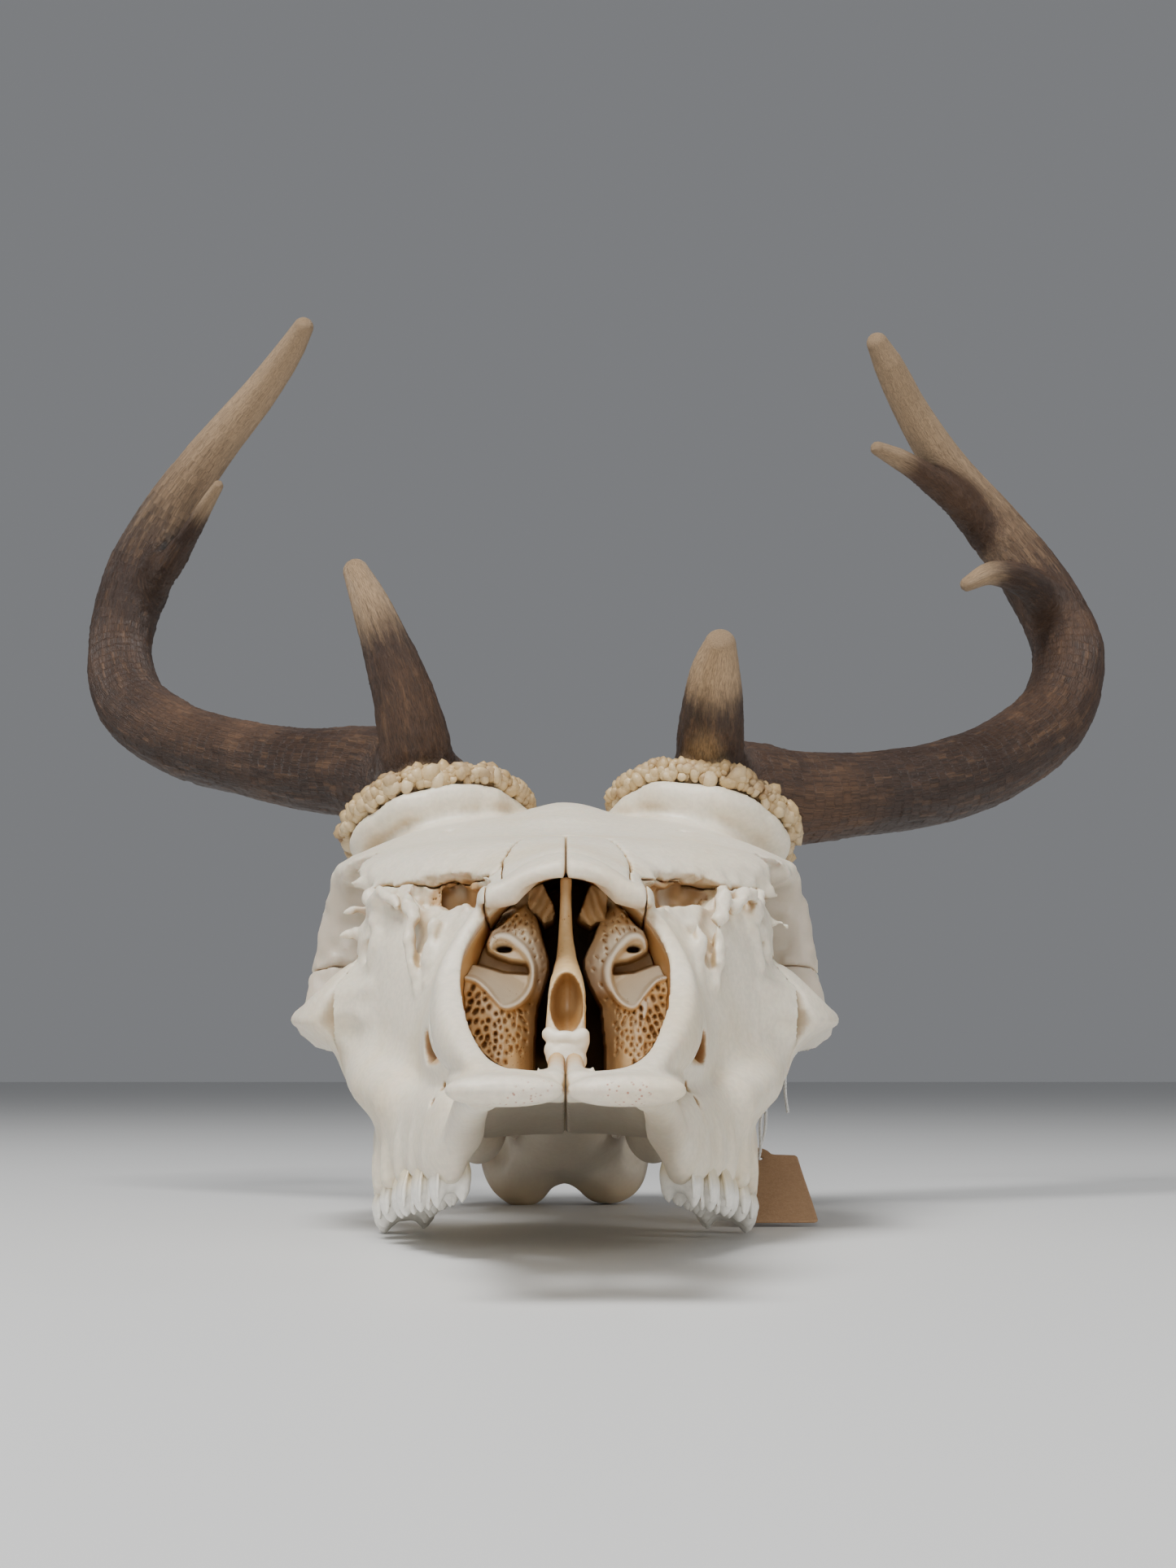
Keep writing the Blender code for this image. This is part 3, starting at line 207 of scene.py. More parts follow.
ORBIT_SPIKES = (
    ((-41, 154, 66.5, 1.7), (-44.6, 153.4, 66.9, 0.9), (-46.6, 153, 66.4, 0.3)),
    ((-42, 153, 61.5, 1.7), (-45.2, 152.4, 62.0, 0.8), (-47.2, 152, 61.2, 0.3)),
    ((-42, 154, 73.5, 1.6), (-45.0, 154, 72.8, 0.4)),
    ((42, 154, 64, 1.7), (44.6, 153.4, 64.6, 0.8), (46.4, 153, 63.8, 0.3)),
    ((42.5, 154, 70.4, 1.5), (45.6, 154, 69.8, 0.4)),
)
ANTORBITAL_GAP = (
    ((15.6, 114.0, 66.4, 2.4), (18.0, 118.5, 68.2, 3.3), (22.0, 125.5, 69.0, 3.9), (26.5, 130.5, 69.2, 3.4),
     (29.6, 134.0, 69.0, 2.4)),
    ((14.0, 119.0, 64.5, 3.0), (18.0, 126.0, 66.5, 3.4), (22.0, 133.0, 67.5, 3.4), (25.5, 137.0, 67.6, 2.6)),
)
LACY_BITS = (
    ((23.0, 124.0, 73.0, 0.6), (23.6, 124.4, 70.4, 0.5), (22.8, 125.2, 68.4, 0.35)),
    ((20.0, 120.0, 65.2, 0.6), (20.8, 121.4, 67.4, 0.4), (21.8, 121.0, 68.6, 0.25)),
    ((26.6, 129.0, 72.6, 0.6), (26.2, 129.4, 70.2, 0.4)),
)
INFRAORBITAL = ((24.4, 82.5, 34.4, 1.9), (25.8, 88, 36.8, 3.1), (25.8, 94, 37.6, 3.0), (21.5, 101, 37.6, 2.6))
BROW_FORAMEN = ((26, 186, 92, 1.6), (27, 190, 80, 1.4))
SMALL_FORAMEN = (((25.0, 83, 30.0, 0.8), (20, 90, 30.6, 0.8)), ((26.0, 84, 27.2, 0.9), (21, 90, 28.0, 0.9)))
MIDLINE_CLEFT = ((0, -3, 31.6, 0.9), (0, 3, 32.9, 0.9), (0, 14, 33.6, 0.8), (0, 30, 34.6, 0.5))
PREMAXILLA_GROOVE = ((14.6, 20, 30.6, 0.4), (17.5, 34, 33.0, 0.4))
# Smaller carved hollows of each side: centre, radii and how softly they are carved
HOLLOWS = (
    ((47.5, 139.0, 41.6), (5.4, 5.6, 3.6), 2.5),
    ((6.3, 31.0, 30.0), (2.3, 15.0, 9.0), 0.8),
    ((40.0, 237.0, 36.0), (3.0, 3.0, 3.0), 0.8),
    ((5.5, 186.0, 33.0), (5.0, 16.0, 7.5), 2.0),
    ((18.6, 244.0, 14.0), (4.2, 6.0, 4.6), 2.0),
    ((4.5, 243.5, 13.5), (2.6, 4.0, 4.5), 2.0),
)
# What stands in the nose, as rows of x, y, z and radius of bars that run on to the rear
SEPTUM = (
    (0.0, 60, 69.5, 0.9), (0.0, 60, 58.0, 1.1), (0.1, 57, 52.5, 1.6), (0.2, 53, 49.0, 2.5),
    (0.2, 49, 45.6, 3.1), (0.1, 46, 42.5, 3.2), (0.0, 44.6, 39.5, 3.2), (0.0, 43, 37.6, 2.8),
)
VOMER_CHANNEL = ((0.15, 44.5, 44.8), (2.75, 9.0, 5.8))
VOMER_BLOCK = (
    (-2.6, 41.4, 39.2, 1.3), (-1.5, 40.4, 38.3, 1.3), (0.0, 40.0, 38.6, 1.3), (1.6, 40.3, 38.2, 1.3),
    (2.7, 41.4, 39.1, 1.3), (1.9, 40.8, 37.0, 1.6), (0.0, 40.4, 36.4, 2.0), (-1.9, 40.8, 36.9, 1.6),
    (-0.4, 40.4, 35.2, 2.4), (1.2, 40.6, 35.0, 2.2),
)
VOMER_CRACK = (
    (-4.0, 37.2, 37.0, 0.22), (-1.0, 37.0, 36.4, 0.3), (1.5, 37.0, 37.0, 0.25), (4.0, 37.4, 36.5, 0.2),
)
# The rolled bone on each side of the nose as its front is seen, in x away from the midline and z
ROLL_EDGE = (
    (4.6, 80), (4.6, 64.0), (5.6, 62.0), (4.7, 59.5), (4.0, 56.5), (3.0, 53.2), (2.8, 51.1), (3.7, 47.6),
    (4.9, 44.1), (5.1, 40.6), (5.4, 36.0), (5.4, 28.0), (40, 28.0), (40, 80),
)
WALL = (
    (40, 80), (3, 80), (3, 63.4), (6.8, 62.6), (9.4, 60.4), (11.2, 58.6), (12.9, 57.4), (13.8, 55.4),
    (13.6, 54.0), (11.9, 53.1), (9.6, 52.3), (6.5, 51.9), (6.1, 51.0), (6.2, 49.9), (10.8, 50.2),
    (14.3, 51.3), (18, 52.3), (40, 52.6),
)
BOWL = (
    (40, 52.6), (18, 52.3), (14.3, 51.3), (10.8, 50.2), (6.2, 49.9), (6.2, 48.5), (7.5, 46.2), (9.6, 44.6),
    (10.8, 44.6), (11.9, 45.7), (13.6, 47.4), (15.4, 48.8), (40, 49.2),
)
UNDER_PLATE = ((13.3, 54.2), (11.9, 53.2), (9.6, 52.4), (6.6, 52.0), (7.0, 53.3), (9.2, 54.4), (11.9, 54.9))
STRIPE = (
    (17.6, 57.0), (13.1, 60.0), (9.3, 62.0), (8.4, 61.3), (11.5, 59.8), (14.6, 57.4), (16.4, 54.6),
    (19, 54.4),
)
CURL = (
    (12.9, 54.3, 0.35), (12.7, 55.5, 0.55), (11.4, 56.3, 0.75), (9.9, 56.1, 0.85), (8.2, 54.9, 0.85),
    (6.6, 53.2, 0.75), (5.75, 51.2, 0.65), (5.65, 49.4, 0.6), (6.1, 47.4, 0.65), (7.4, 45.5, 0.65),
    (9.0, 44.4, 0.6), (10.6, 44.1, 0.5), (11.5, 44.7, 0.35),
)
SHELF_EDGE = ((19.5, 49.3, 0.4), (15.4, 48.7, 0.5), (13.6, 47.2, 0.5), (12.2, 45.6, 0.45), (11.3, 44.6, 0.4))
LOWER_RIDGE = ((15.6, 47.6, 0.5), (14.3, 45.2, 0.5), (11.9, 42.4, 0.55), (11.5, 39.0, 0.6), (11.4, 35.5, 0.5))
CURL_HOLE, CURL_HOLE_RADII = (10.65, 54.25), (1.35, 0.55)
# The left one stands a little wider: places on it and the same places on the right one
LEFT_SPREAD = ((0.0, 3.2, 7.95, 12.2, 17.5, 40.0), (0.0, 3.0, 6.1, 11.2, 17.5, 40.0))
# Where its pores lie: from x, z, to x, z, how many are tried, half length, half width and space between
PORE_FIELDS = (
    ((11.8, 37.0), (17.0, 47.6), 600, 0.5, 0.26, 1.2),
    ((10.0, 34.5), (15.0, 42.0), 300, 0.36, 0.15, 0.95),
    ((6.8, 36.5), (11.0, 43.6), 260, 0.48, 0.13, 0.95),
    ((3.6, 44.5), (7.6, 56.0), 150, 0.34, 0.12, 1.0),
    ((5.0, 56.5), (11.0, 61.0), 220, 0.42, 0.13, 0.95),
)
FLAP = {
    "right": (
        (4.6, 68), (2.0, 62.6), (1.6, 61.0), (1.8, 59.6), (3.7, 58.4), (4.8, 59.6), (6.9, 61.6), (7.4, 68),
    ),
    "left": (
        (4.8, 68), (2.3, 61.5), (1.7, 59.5), (3.2, 58.7), (4.3, 58.0), (5.7, 58.9), (7.2, 59.0), (7.6, 61.8),
        (8.2, 68),
    ),
}
BROKEN_BIT = ((13.4, 62.0, 45.6, 0.5), (13.6, 61.2, 44.0, 0.5), (13.4, 60.9, 42.4, 0.25))
TURBINATE_REAR, VOMER_REAR = 84.0, 132.0
BEYOND_NOSE = 95.0

BURR_RADIUS, BURR_THICK = 22.0, 3.4
BURR_CENTRE = {"left": (34.0, 230.0, 93.4), "right": (-31.9, 230.0, 92.7)}
BURR_AXIS = (0.23, 0.49, 0.84)
# Rings of beads: how far out of the burr's rim, level along its axis and how many
BEAD_ROWS = ((-0.5, -1.9, 92), (0.3, -0.8, 104), (0.3, 0.4, 104), (-0.7, 1.4, 92))
BEAD_RADIUS, BEAD_UNEVENNESS = 0.00088, 1.1
RIDGE_HEIGHT, RIDGES_AROUND = 0.0022, 4.2

# Antler lines as points of x, y, z and radius, from the burr outwards
BEAM = {
    "left": (
        (34.5, 231, 95, 14.5), (42.0, 239, 101.5, 13.5), (54.3, 246, 101.5, 12.3), (73.1, 258, 103.7, 10.9),
        (95.4, 272, 107.9, 10.8), (118.9, 290, 117.9, 10.6), (137.5, 306, 134.3, 10.3),
        (142.8, 316, 151.8, 10.0), (136.1, 320, 170.3, 9.2), (123.4, 320, 188.1, 8.0),
        (108.9, 314, 204.6, 6.1), (96.9, 304, 219.6, 4.8), (89.1, 294, 230.3, 3.9), (86.4, 291, 234.0, 3.0),
    ),
    "right": (
        (-32.5, 231, 95, 14.5), (-39.5, 239, 103.5, 13.5), (-50.5, 248, 108, 12.0), (-63.4, 257, 109.7, 10.7),
        (-84.1, 272, 114.9, 9.7), (-106.4, 292, 123.5, 9.8), (-122.0, 307, 136.4, 9.6),
        (-126.6, 317, 153.9, 8.8), (-122.1, 320, 174.5, 9.4), (-113.7, 318, 191.9, 7.7),
        (-100.3, 310, 208.2, 6.0), (-85.4, 300, 222.7, 4.8), (-75.8, 291, 232.8, 3.6),
        (-72.5, 287, 236.8, 2.8),
    ),
}
TINES = {
    "left": {
        "brow_tine": (
            (37.0, 237, 98, 7.5), (35.1, 226, 108, 8.3), (35.1, 213, 119, 7.4), (35.3, 204, 127.5, 5.6),
            (36.0, 198.5, 132, 3.8),
        ),
        "hook_tine": (
            (139, 318, 160, 4.5), (134, 310, 166.5, 4.6), (124.9, 299, 169.5, 4.0), (116, 291, 168.8, 3.1),
            (109.2, 286, 164.8, 2.0),
        ),
        "upper_tine": (
            (121, 319, 187, 3.5), (109, 311, 196, 4.2), (99.6, 304, 200.8, 3.4), (91.9, 298, 203.4, 2.8),
            (86.4, 294, 204.8, 2.0),
        ),
    },
    "right": {
        "brow_tine": (
            (-38, 236, 99, 8.0), (-36.4, 226, 107.3, 8.9), (-38.6, 221.5, 120.7, 7.8),
            (-43, 219.5, 134.3, 6.1), (-48.2, 219.5, 147.4, 4.4), (-51.2, 220.5, 154, 3.2),
        ),
        "upper_tine": (
            (-119, 318, 168, 3.6), (-112, 311, 175, 3.6), (-104.2, 301, 183, 2.6), (-98.6, 293, 189.2, 2.0),
            (-95.4, 289, 192.6, 1.5),
        ),
    },
}

# Cheek teeth, front to rear: length along the row and width across it
TEETH = ((9.0, 7.5), (9.5, 9.0), (9.0, 10.5), (12.5, 12.5), (14.5, 13.5), (15.0, 13.0))
ROW_START, ROW_END = (20.0, 84.5), (33.2, 157.5)
ROW_BOW = 3.0
CROWN_FRONT, CROWN_REAR = 9.0, 0.0
PREMOLARS = 3
TOOTH_LEAN = math.radians(6.0)
# The size of the two tooth shapes before they are scaled
CROWN_WIDTH, MOLAR_LENGTH, PREMOLAR_LENGTH = 13.4, 12.7, 7.0

# The paper tag leans on the floor, and its string is tied round the left arch
TAG_WIDTH, TAG_LENGTH, TAG_THICK = 18.5, 33.0, 0.6
TAG_CORNER, TAG_TAB_RISE = 1.3, 1.4
TAB_RADIUS, TAB_BACK, HOLE_RADIUS = 3.2, 2.9, 0.9
TAG_FOOT = (45.2, 168.0, 0.7)
TAG_LEAN, TAG_TURN = math.radians(26.0), math.radians(4.0)
HOLE_BACK = 4.6
STRING_DOWN = (
    (52.2, 214.6, 23.5), (51.6, 214.2, 29.0), (51.9, 213.6, 34.0), (55.6, 213.0, 40.0), (56.4, 212.6, 45.5),
    (53.6, 212.4, 50.6), (50.3, 212.2, 50.2), (47.4, 212.0, 44.5), (47.0, 211.6, 38.5), (48.0, 210.6, 33.5),
)
# In metres, of each of the strands that are twisted round the string's line
STRANDS, STRAND_RADIUS, LAY_RADIUS, TURN_LENGTH = 3, 0.00022, 0.00019, 0.0026
STRING_UP = (
    (45.9, 203.0, 20.0), (46.1, 209.4, 28.5), (45.2, 212.6, 31.0), (44.7, 214.4, 27.5), (44.9, 215.2, 22.0),
)

CAMERA_PLACE, LENS = np.array((0.0, -345.0, 33.5)), 54.2
CAMERA_PITCH, CAMERA_YAW = math.radians(6.9), math.radians(0.54)
# In metres: name, place, size and power
LIGHTS = (
    ("top light", (-0.3, -0.35, 1.1), 0.5, 17.0),
    ("right light", (1.0, -0.5, 0.35), 0.5, 3.5),
    ("front light", (-0.15, -1.3, 0.45), 0.35, 5.5),
)


def smooth_table(table, places):
    """Rows of a table read at other places of its first column, on a smooth curve."""
    table = np.asarray(table, float)
    at, rows = table[:, 0], table[:, 1:]
    slopes = np.gradient(rows, at, axis=0)
    index = np.clip(np.searchsorted(at, places) - 1, 0, len(at) - 2)
    width = (at[index + 1] - at[index])[:, None]
    t = ((places - at[index])[:, None]) / width
    start, end = rows[index], rows[index + 1]
    a, b = slopes[index] * width, slopes[index + 1] * width
    return (
        start * (2 * t**3 - 3 * t**2 + 1)
        + end * (3 * t**2 - 2 * t**3)
        + a * (t**3 - 2 * t**2 + t)
        + b * (t**3 - t**2)
    )


def ragged(shape, amount, scale, seed):
    """The same shape with an uneven surface."""
    low, high, distance = shape

    def uneven(x, y, z):
        return distance(x, y, z) + amount * grain_noise(x, y, z, scale, seed)

    return low - amount, high + amount, uneven


def path_through(points, count):
    """A smooth line of this many places through rows of numbers, spaced by distance."""
    points = np.asarray(points, float)
    steps = np.linalg.norm(np.diff(points[:, :3], axis=0), axis=1)
    along = np.concatenate([[0], np.cumsum(steps)])
    return smooth_table(np.column_stack([along, points]), np.linspace(0, along[-1], count))


def smooth_min(a, b, soft):
    """The lower of two fields, rounded over this many millimetres where they cross."""
    if soft <= 0:
        return np.minimum(a, b)
    h = np.clip(0.5 + 0.5 * (b - a) / soft, 0, 1)
    return b + (a - b) * h - soft * h * (1 - h)


def smooth_max(a, b, soft):
    return -smooth_min(-a, -b, soft)


def ramp(low, high, value):
    """0 below the low value, 1 above the high one and smooth between them."""
    t = np.clip((value - low) / (high - low), 0, 1)
    return t * t * (3 - 2 * t)


def loft(table, side=0, axis="y", power=2.3, cap=2.0):
    """Egg-shaped sections along an axis. Returns a body's lowest and highest corner and its distance."""
    rows = np.asarray(table, float)
    if rows.shape[1] == 6:
        rows = np.column_stack([rows[:, :5], np.full((len(rows), 2), power), rows[:, 5] * side])
    else:
        rows = np.column_stack([rows, np.zeros(len(rows))])
    wide, tall = np.abs(rows[:, 1]), np.maximum(rows[:, 3], rows[:, 4])
    low = np.array([(rows[:, 7] - wide).min(), rows[0, 0], (rows[:, 2] - tall).min()])
    high = np.array([(rows[:, 7] + wide).max(), rows[-1, 0], (rows[:, 2] + tall).max()])
    turn = [0, 2, 1] if axis == "z" else [0, 1, 2]

    def distance(x, y, z):
        along, other = (z, y) if axis == "z" else (y, z)
        places = np.clip(along, rows[0, 0], rows[-1, 0]).ravel()
        half, centre, rise, drop, up, down, middle = (
            value.reshape(along.shape) for value in smooth_table(rows, places).T
        )
        dx = np.maximum(np.abs(x - middle), 0.05)
        dz = other - centre
        height, power_here = np.where(dz >= 0, rise, drop), np.where(dz >= 0, up, down)
        share = (dx / half) ** power_here + (np.abs(dz) / height) ** power_here
        reach = np.maximum(share, 1e-6) ** (1 / power_here)
        body = np.hypot(dx, dz) * (1 - 1 / reach)
        ends = np.maximum(rows[0, 0] - along, along - rows[-1, 0])
        return smooth_max(body, ends, cap)

    return low[turn], high[turn], distance


def ellipsoid(centre, radii):
    centre, radii = np.array(centre, float), np.array(radii, float)

    def distance(x, y, z):
        unit = [(value - c) / r for value, c, r in zip((x, y, z), centre, radii)]
        near = np.sqrt(unit[0] ** 2 + unit[1] ** 2 + unit[2] ** 2)
        slope = np.sqrt(sum((u / r) ** 2 for u, r in zip(unit, radii)))
        return near * (near - 1) / np.maximum(slope, 1e-4)

    return centre - radii, centre + radii, distance


def tube(points, count=24, open_back=False):
    """A bar along rows of x, y, z and radius. With an open back it runs on towards +Y."""
    line = path_through(points, count)
    low, high = (line[:, :3] - line[:, 3:]).min(axis=0), (line[:, :3] + line[:, 3:]).max(axis=0)
    if open_back:
        high[1] = 300.0

    def distance(x, y, z):
        found = np.full(np.broadcast_shapes(x.shape, y.shape, z.shape), FAR, np.float32)
        pad = 6.0
        for start, end in zip(line[:-1], line[1:]):
            lows = np.minimum(start, end)[:3] - max(start[3], end[3]) - pad
            highs = np.maximum(start, end)[:3] + max(start[3], end[3]) + pad
            if open_back:
                highs[1] = 400.0
            spans = zip((x, y, z), lows, highs)
            cut = tuple(slice(*np.searchsorted(values.ravel(), (a, b))) for values, a, b in spans)
            if any(part.start == part.stop for part in cut):
                continue
            step = (end - start)[:3]
            gx, gy, gz = x[cut[0]] - start[0], y[:, cut[1]] - start[1], z[:, :, cut[2]] - start[2]
            if open_back:
                length = max(step[0] ** 2 + step[2] ** 2, 1e-6)
                share = np.clip((gx * step[0] + gz * step[2]) / length, 0, 1)
                behind = np.minimum(gy - share * step[1], 0)
            else:
                share = np.clip((gx * step[0] + gy * step[1] + gz * step[2]) / (step @ step), 0, 1)
                behind = gy - share * step[1]
            near = np.sqrt((gx - share * step[0]) ** 2 + behind**2 + (gz - share * step[2]) ** 2)
            near = near - (start[3] + share * (end[3] - start[3]))
            found[cut] = np.minimum(found[cut], near)
        return found

    return low, high, distance


def bar_distance(points, rows, count=24):
    """How far any points are from the skin of a bar along rows of x, y, z and radius."""
    line = path_through(rows, count)
    found = np.full(len(points), FAR)
    for start, end in zip(line[:-1], line[1:]):
        step = (end - start)[:3]
        away = points - start[:3]
        share = np.clip(away @ step / (step @ step), 0, 1)
        near = np.linalg.norm(away - share[:, None] * step, axis=1)
        found = np.minimum(found, near - start[3] - share * (end[3] - start[3]))
    return found


def outline_distance(loop, a, b):
    """Signed distance to a closed outline in a plane, negative inside it."""
    loop = np.asarray(loop, float)
    nearest = np.full(np.broadcast_shapes(a.shape, b.shape), 1e9)
    inside = np.zeros(nearest.shape, bool)
    for (a0, b0), (a1, b1) in zip(loop, np.roll(loop, -1, axis=0)):
        da, db = a1 - a0, b1 - b0
        share = np.clip(((a - a0) * da + (b - b0) * db) / max(da * da + db * db, 1e-9), 0, 1)
        nearest = np.minimum(nearest, (a - a0 - share * da) ** 2 + (b - b0 - share * db) ** 2)
        if db:
            inside ^= ((b0 > b) != (b1 > b)) & (a < (b - b0) * da / db + a0)
    return np.where(inside, -1, 1) * np.sqrt(nearest)


def slab(loop, plane, low, high):
    """A flat outline in the yz or xy plane, drawn out between two levels."""
    loop = np.asarray(loop, float)
    if plane == "yz":
        corners = np.array([(low, *loop.min(axis=0)), (high, *loop.max(axis=0))])
    else:
        corners = np.array([(*loop.min(axis=0), low), (*loop.max(axis=0), high)])

    def distance(x, y, z):
        across, up, level = (y, z, x) if plane == "yz" else (x, y, z)
        return np.maximum(outline_distance(loop, across, up), np.maximum(low - level, level - high))

    return corners[0], corners[1], distance


def grain_noise(x, y, z, scale, seed):
    """Soft noise between about -1 and 1 that is the same wherever the block of space lies."""
    weights, sizes = [], []
    for values, start in ((x, -100.0), (y, -40.0), (z, -40.0)):
        place = (values.ravel() - start) / scale
        count = int(420 / scale) + 4
        whole = np.clip(np.floor(place).astype(int), 0, count - 2)
        part = place - whole
        part = part * part * (3 - 2 * part)
        weight = np.zeros((len(place), count), np.float32)
        weight[np.arange(len(place)), whole] = 1 - part
        weight[np.arange(len(place)), whole + 1] = part
        used = np.flatnonzero(weight.any(axis=0))
        weights.append(weight[:, used])
        sizes.append((used, count))
    generator = np.random.default_rng(seed)
    count = sizes[0][1]
    lattice = generator.uniform(-1, 1, (count, count, count)).astype(np.float32)
    lattice = lattice[np.ix_(*(used for used, _ in sizes))]
    found = np.tensordot(weights[0], lattice, (1, 0))
    found = np.tensordot(weights[1], found, (1, 1)).transpose(1, 0, 2)
    return np.tensordot(found, weights[2], (2, 1))


class Clay:
    """A block of space that holds how far each place is from the body being modelled."""

    def __init__(self, low, high, step):
        self.low, self.step = np.array(low, float), step * 1.0
        self.count = np.ceil((np.array(high) - self.low) / self.step).astype(int) + 1
        self.axes = [start + self.step * np.arange(n) for start, n in zip(self.low, self.count)]
        self.field = np.full(self.count, FAR, np.float32)

    def grid(self, cut=(slice(None),) * 3):
        x, y, z = (values[part].astype(np.float32) for values, part in zip(self.axes, cut))
        return x[:, None, None], y[None, :, None], z[None, None, :]

    def change(self, shape, soft, how):
        """Changes the field near a shape, where it may matter."""
        low, high, distance = shape
        pad = soft + 2 * self.step
        cut = tuple(
            slice(*np.searchsorted(values, (a - pad, b + pad))) for values, a, b in zip(self.axes, low, high)
        )
        if all(part.start < part.stop for part in cut):
            self.field[cut] = how(self.field[cut], distance(*self.grid(cut)), soft)

    def join(self, shape, soft=0.0):
        self.change(shape, soft, smooth_min)

    def carve(self, shape, soft=0.0):
        self.change(shape, soft, lambda field, distance, soft: smooth_max(field, -distance, soft))

    def read(self, points):
        """The distance at any points, in a straight line between the places of the block."""
        place = (points - self.low) / self.step
        place = np.clip(place, 0, np.array(self.count) - 1.001)
        whole = place.astype(int)
        part = place - whole
        total = np.zeros(len(points))
        for corner in np.ndindex(2, 2, 2):
            weight = np.prod(np.where(corner, part, 1 - part), axis=1)
            total += weight * self.field[tuple((whole + corner).T)]
        return total


def skin(field, low, step):
    """Points and four-sided faces on the surface where a block of distances is zero."""
    inside = field < 0
    wide, deep, tall = (count - 1 for count in inside.shape)
    corners = sum(
        inside[i : wide + i, j : deep + j, k : tall + k].astype(np.int8) for i, j, k in np.ndindex(2, 2, 2)
    )
    cells = np.argwhere((corners > 0) & (corners < 8))
    number = np.full(corners.shape, -1, np.int32)
    number[tuple(cells.T)] = np.arange(len(cells))
    total, hits = np.zeros((len(cells), 3)), np.zeros(len(cells))
    for axis in range(3):
        others = [k for k in range(3) if k != axis]
        for i, j in np.ndindex(2, 2):
            start = np.zeros(3, int)
            start[others[0]], start[others[1]] = i, j
            end = start.copy()
            end[axis] = 1
            a, b = field[tuple((cells + start).T)], field[tuple((cells + end).T)]
            crossed = (a < 0) != (b < 0)
            share = np.where(crossed, a / np.where(crossed, a - b, 1), 0)
            place = start + share[:, None] * (end - start)
            total += np.where(crossed[:, None], place, 0)
            hits += crossed
    points = low + step * (cells + total / hits[:, None])
    faces = []
    for axis in range(3):
        first, second = (axis + 1) % 3, (axis + 2) % 3
        here = [slice(1, n - 1) for n in field.shape]
        ahead = list(here)
        here[axis], ahead[axis] = slice(0, field.shape[axis] - 1), slice(1, field.shape[axis])
        a, b = inside[tuple(here)], inside[tuple(ahead)]
        for pick, order in ((a & ~b, 1), (~a & b, -1)):
            edges = np.argwhere(pick) + 1
            edges[:, axis] -= 1
            loop = []
            for i, j in ((-1, -1), (0, -1), (0, 0), (-1, 0))[::order]:
                cell = edges.copy()
                cell[:, first] += i
                cell[:, second] += j
                loop.append(number[tuple(cell.T)])
            faces.append(np.stack(loop, axis=1))
    return points, np.vstack(faces)


def mesh_from(name, points, faces):
    """A smooth mesh from points in millimetres of the skull's frame."""
    mesh = bpy.data.meshes.new(name)
    mesh.vertices.add(len(points))
    mesh.vertices.foreach_set("co", ((points - SHIFT) * MM).astype(np.float32).ravel())
    mesh.loops.add(faces.size)
    mesh.loops.foreach_set("vertex_index", faces.astype(np.int32).ravel())
    mesh.polygons.add(len(faces))
    mesh.polygons.foreach_set("loop_start", np.arange(0, faces.size, faces.shape[1], dtype=np.int32))
    mesh.update(calc_edges=True)
    mesh.validate()
    mesh.shade_smooth()
    return mesh


def store(mesh, name, kind, values):
    """A number or a direction for each point of a mesh, for its tree or its material to read."""
    layer = mesh.attributes.new(name, kind, "POINT")
    layer.data.foreach_set("vector" if kind == "FLOAT_VECTOR" else "value", np.asarray(values).ravel())


def add_mask(mesh, name, values):
    store(mesh, name, "FLOAT", np.clip(values, 0, 1).astype(np.float32))


def add_masks(mesh, points, space, masks):
    """The masks that a function makes of points, their normals and the open space round them."""
    normals = np.empty(len(points) * 3, np.float32)
    mesh.vertices.foreach_get("normal", normals)
    for name, values in masks(points, normals.reshape(-1, 3), space).items():
        add_mask(mesh, name, values)


def piece_from(name, mesh, look):
    piece = bpy.data.objects.new(name, mesh)
    bpy.context.scene.collection.objects.link(piece)
    mesh.materials.clear()
    mesh.materials.append(look)
    return piece


def finish_piece(piece, slot, *nodes):
    """Attaches a finished piece to the root body and hides the nodes that it stands for."""
    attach(piece, "root")
    if nodes:
        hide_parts(*nodes)


def solid_piece(name, clay, field, look, masks, slot):
    """The largest body in a field, finished as the piece for the node of the same name."""
    points, faces = largest_piece(*skin(field, clay.low, clay.step))
    mesh = mesh_from(name, points, faces)
    add_masks(mesh, points, clay, masks)
    finish_piece(piece_from(name, mesh, look), slot, name)


def both(points):
    """The same rows for each side of the animal, with x turned round for the right one."""
    return [[(side * row[0], *row[1:]) for row in points] for _, side in SIDES]


def closed_ring(places, radius):
    """Rows of a bar that runs once round through these places."""
    places = np.vstack([places, places[:1]])
    return np.column_stack([places, np.full(len(places), radius)])


def pedicle(name, side):
    """The stem that carries an antler. It flares to a flat rim under the burr."""
    axis = burr_frame(side)[0]
    top = np.array(BURR_CENTRE[name]) - axis * (BURR_THICK + 0.15)
    foot = (side * 29.0, 214.0, 70.0, 17.5)
    stem = tube((foot, (*(top - axis * 12.0), 16.0), (*(top + axis * 4.0), 16.2)), 10)
    rim = burr_ring(name, side, BURR_RADIUS - 3.0, -BURR_THICK - 2.0, 40, 7 + side)
    flange = tube(closed_ring(rim, 2.6), 60)
    low, high = np.minimum(stem[0], flange[0]), np.maximum(stem[1], flange[1])

    def distance(x, y, z):
        body = smooth_min(stem[2](x, y, z), flange[2](x, y, z), 9.0)
        level = (x - top[0]) * axis[0] + (y - top[1]) * axis[1] + (z - top[2]) * axis[2]
        return smooth_max(body, level, 0.6)

    return low, high, distance


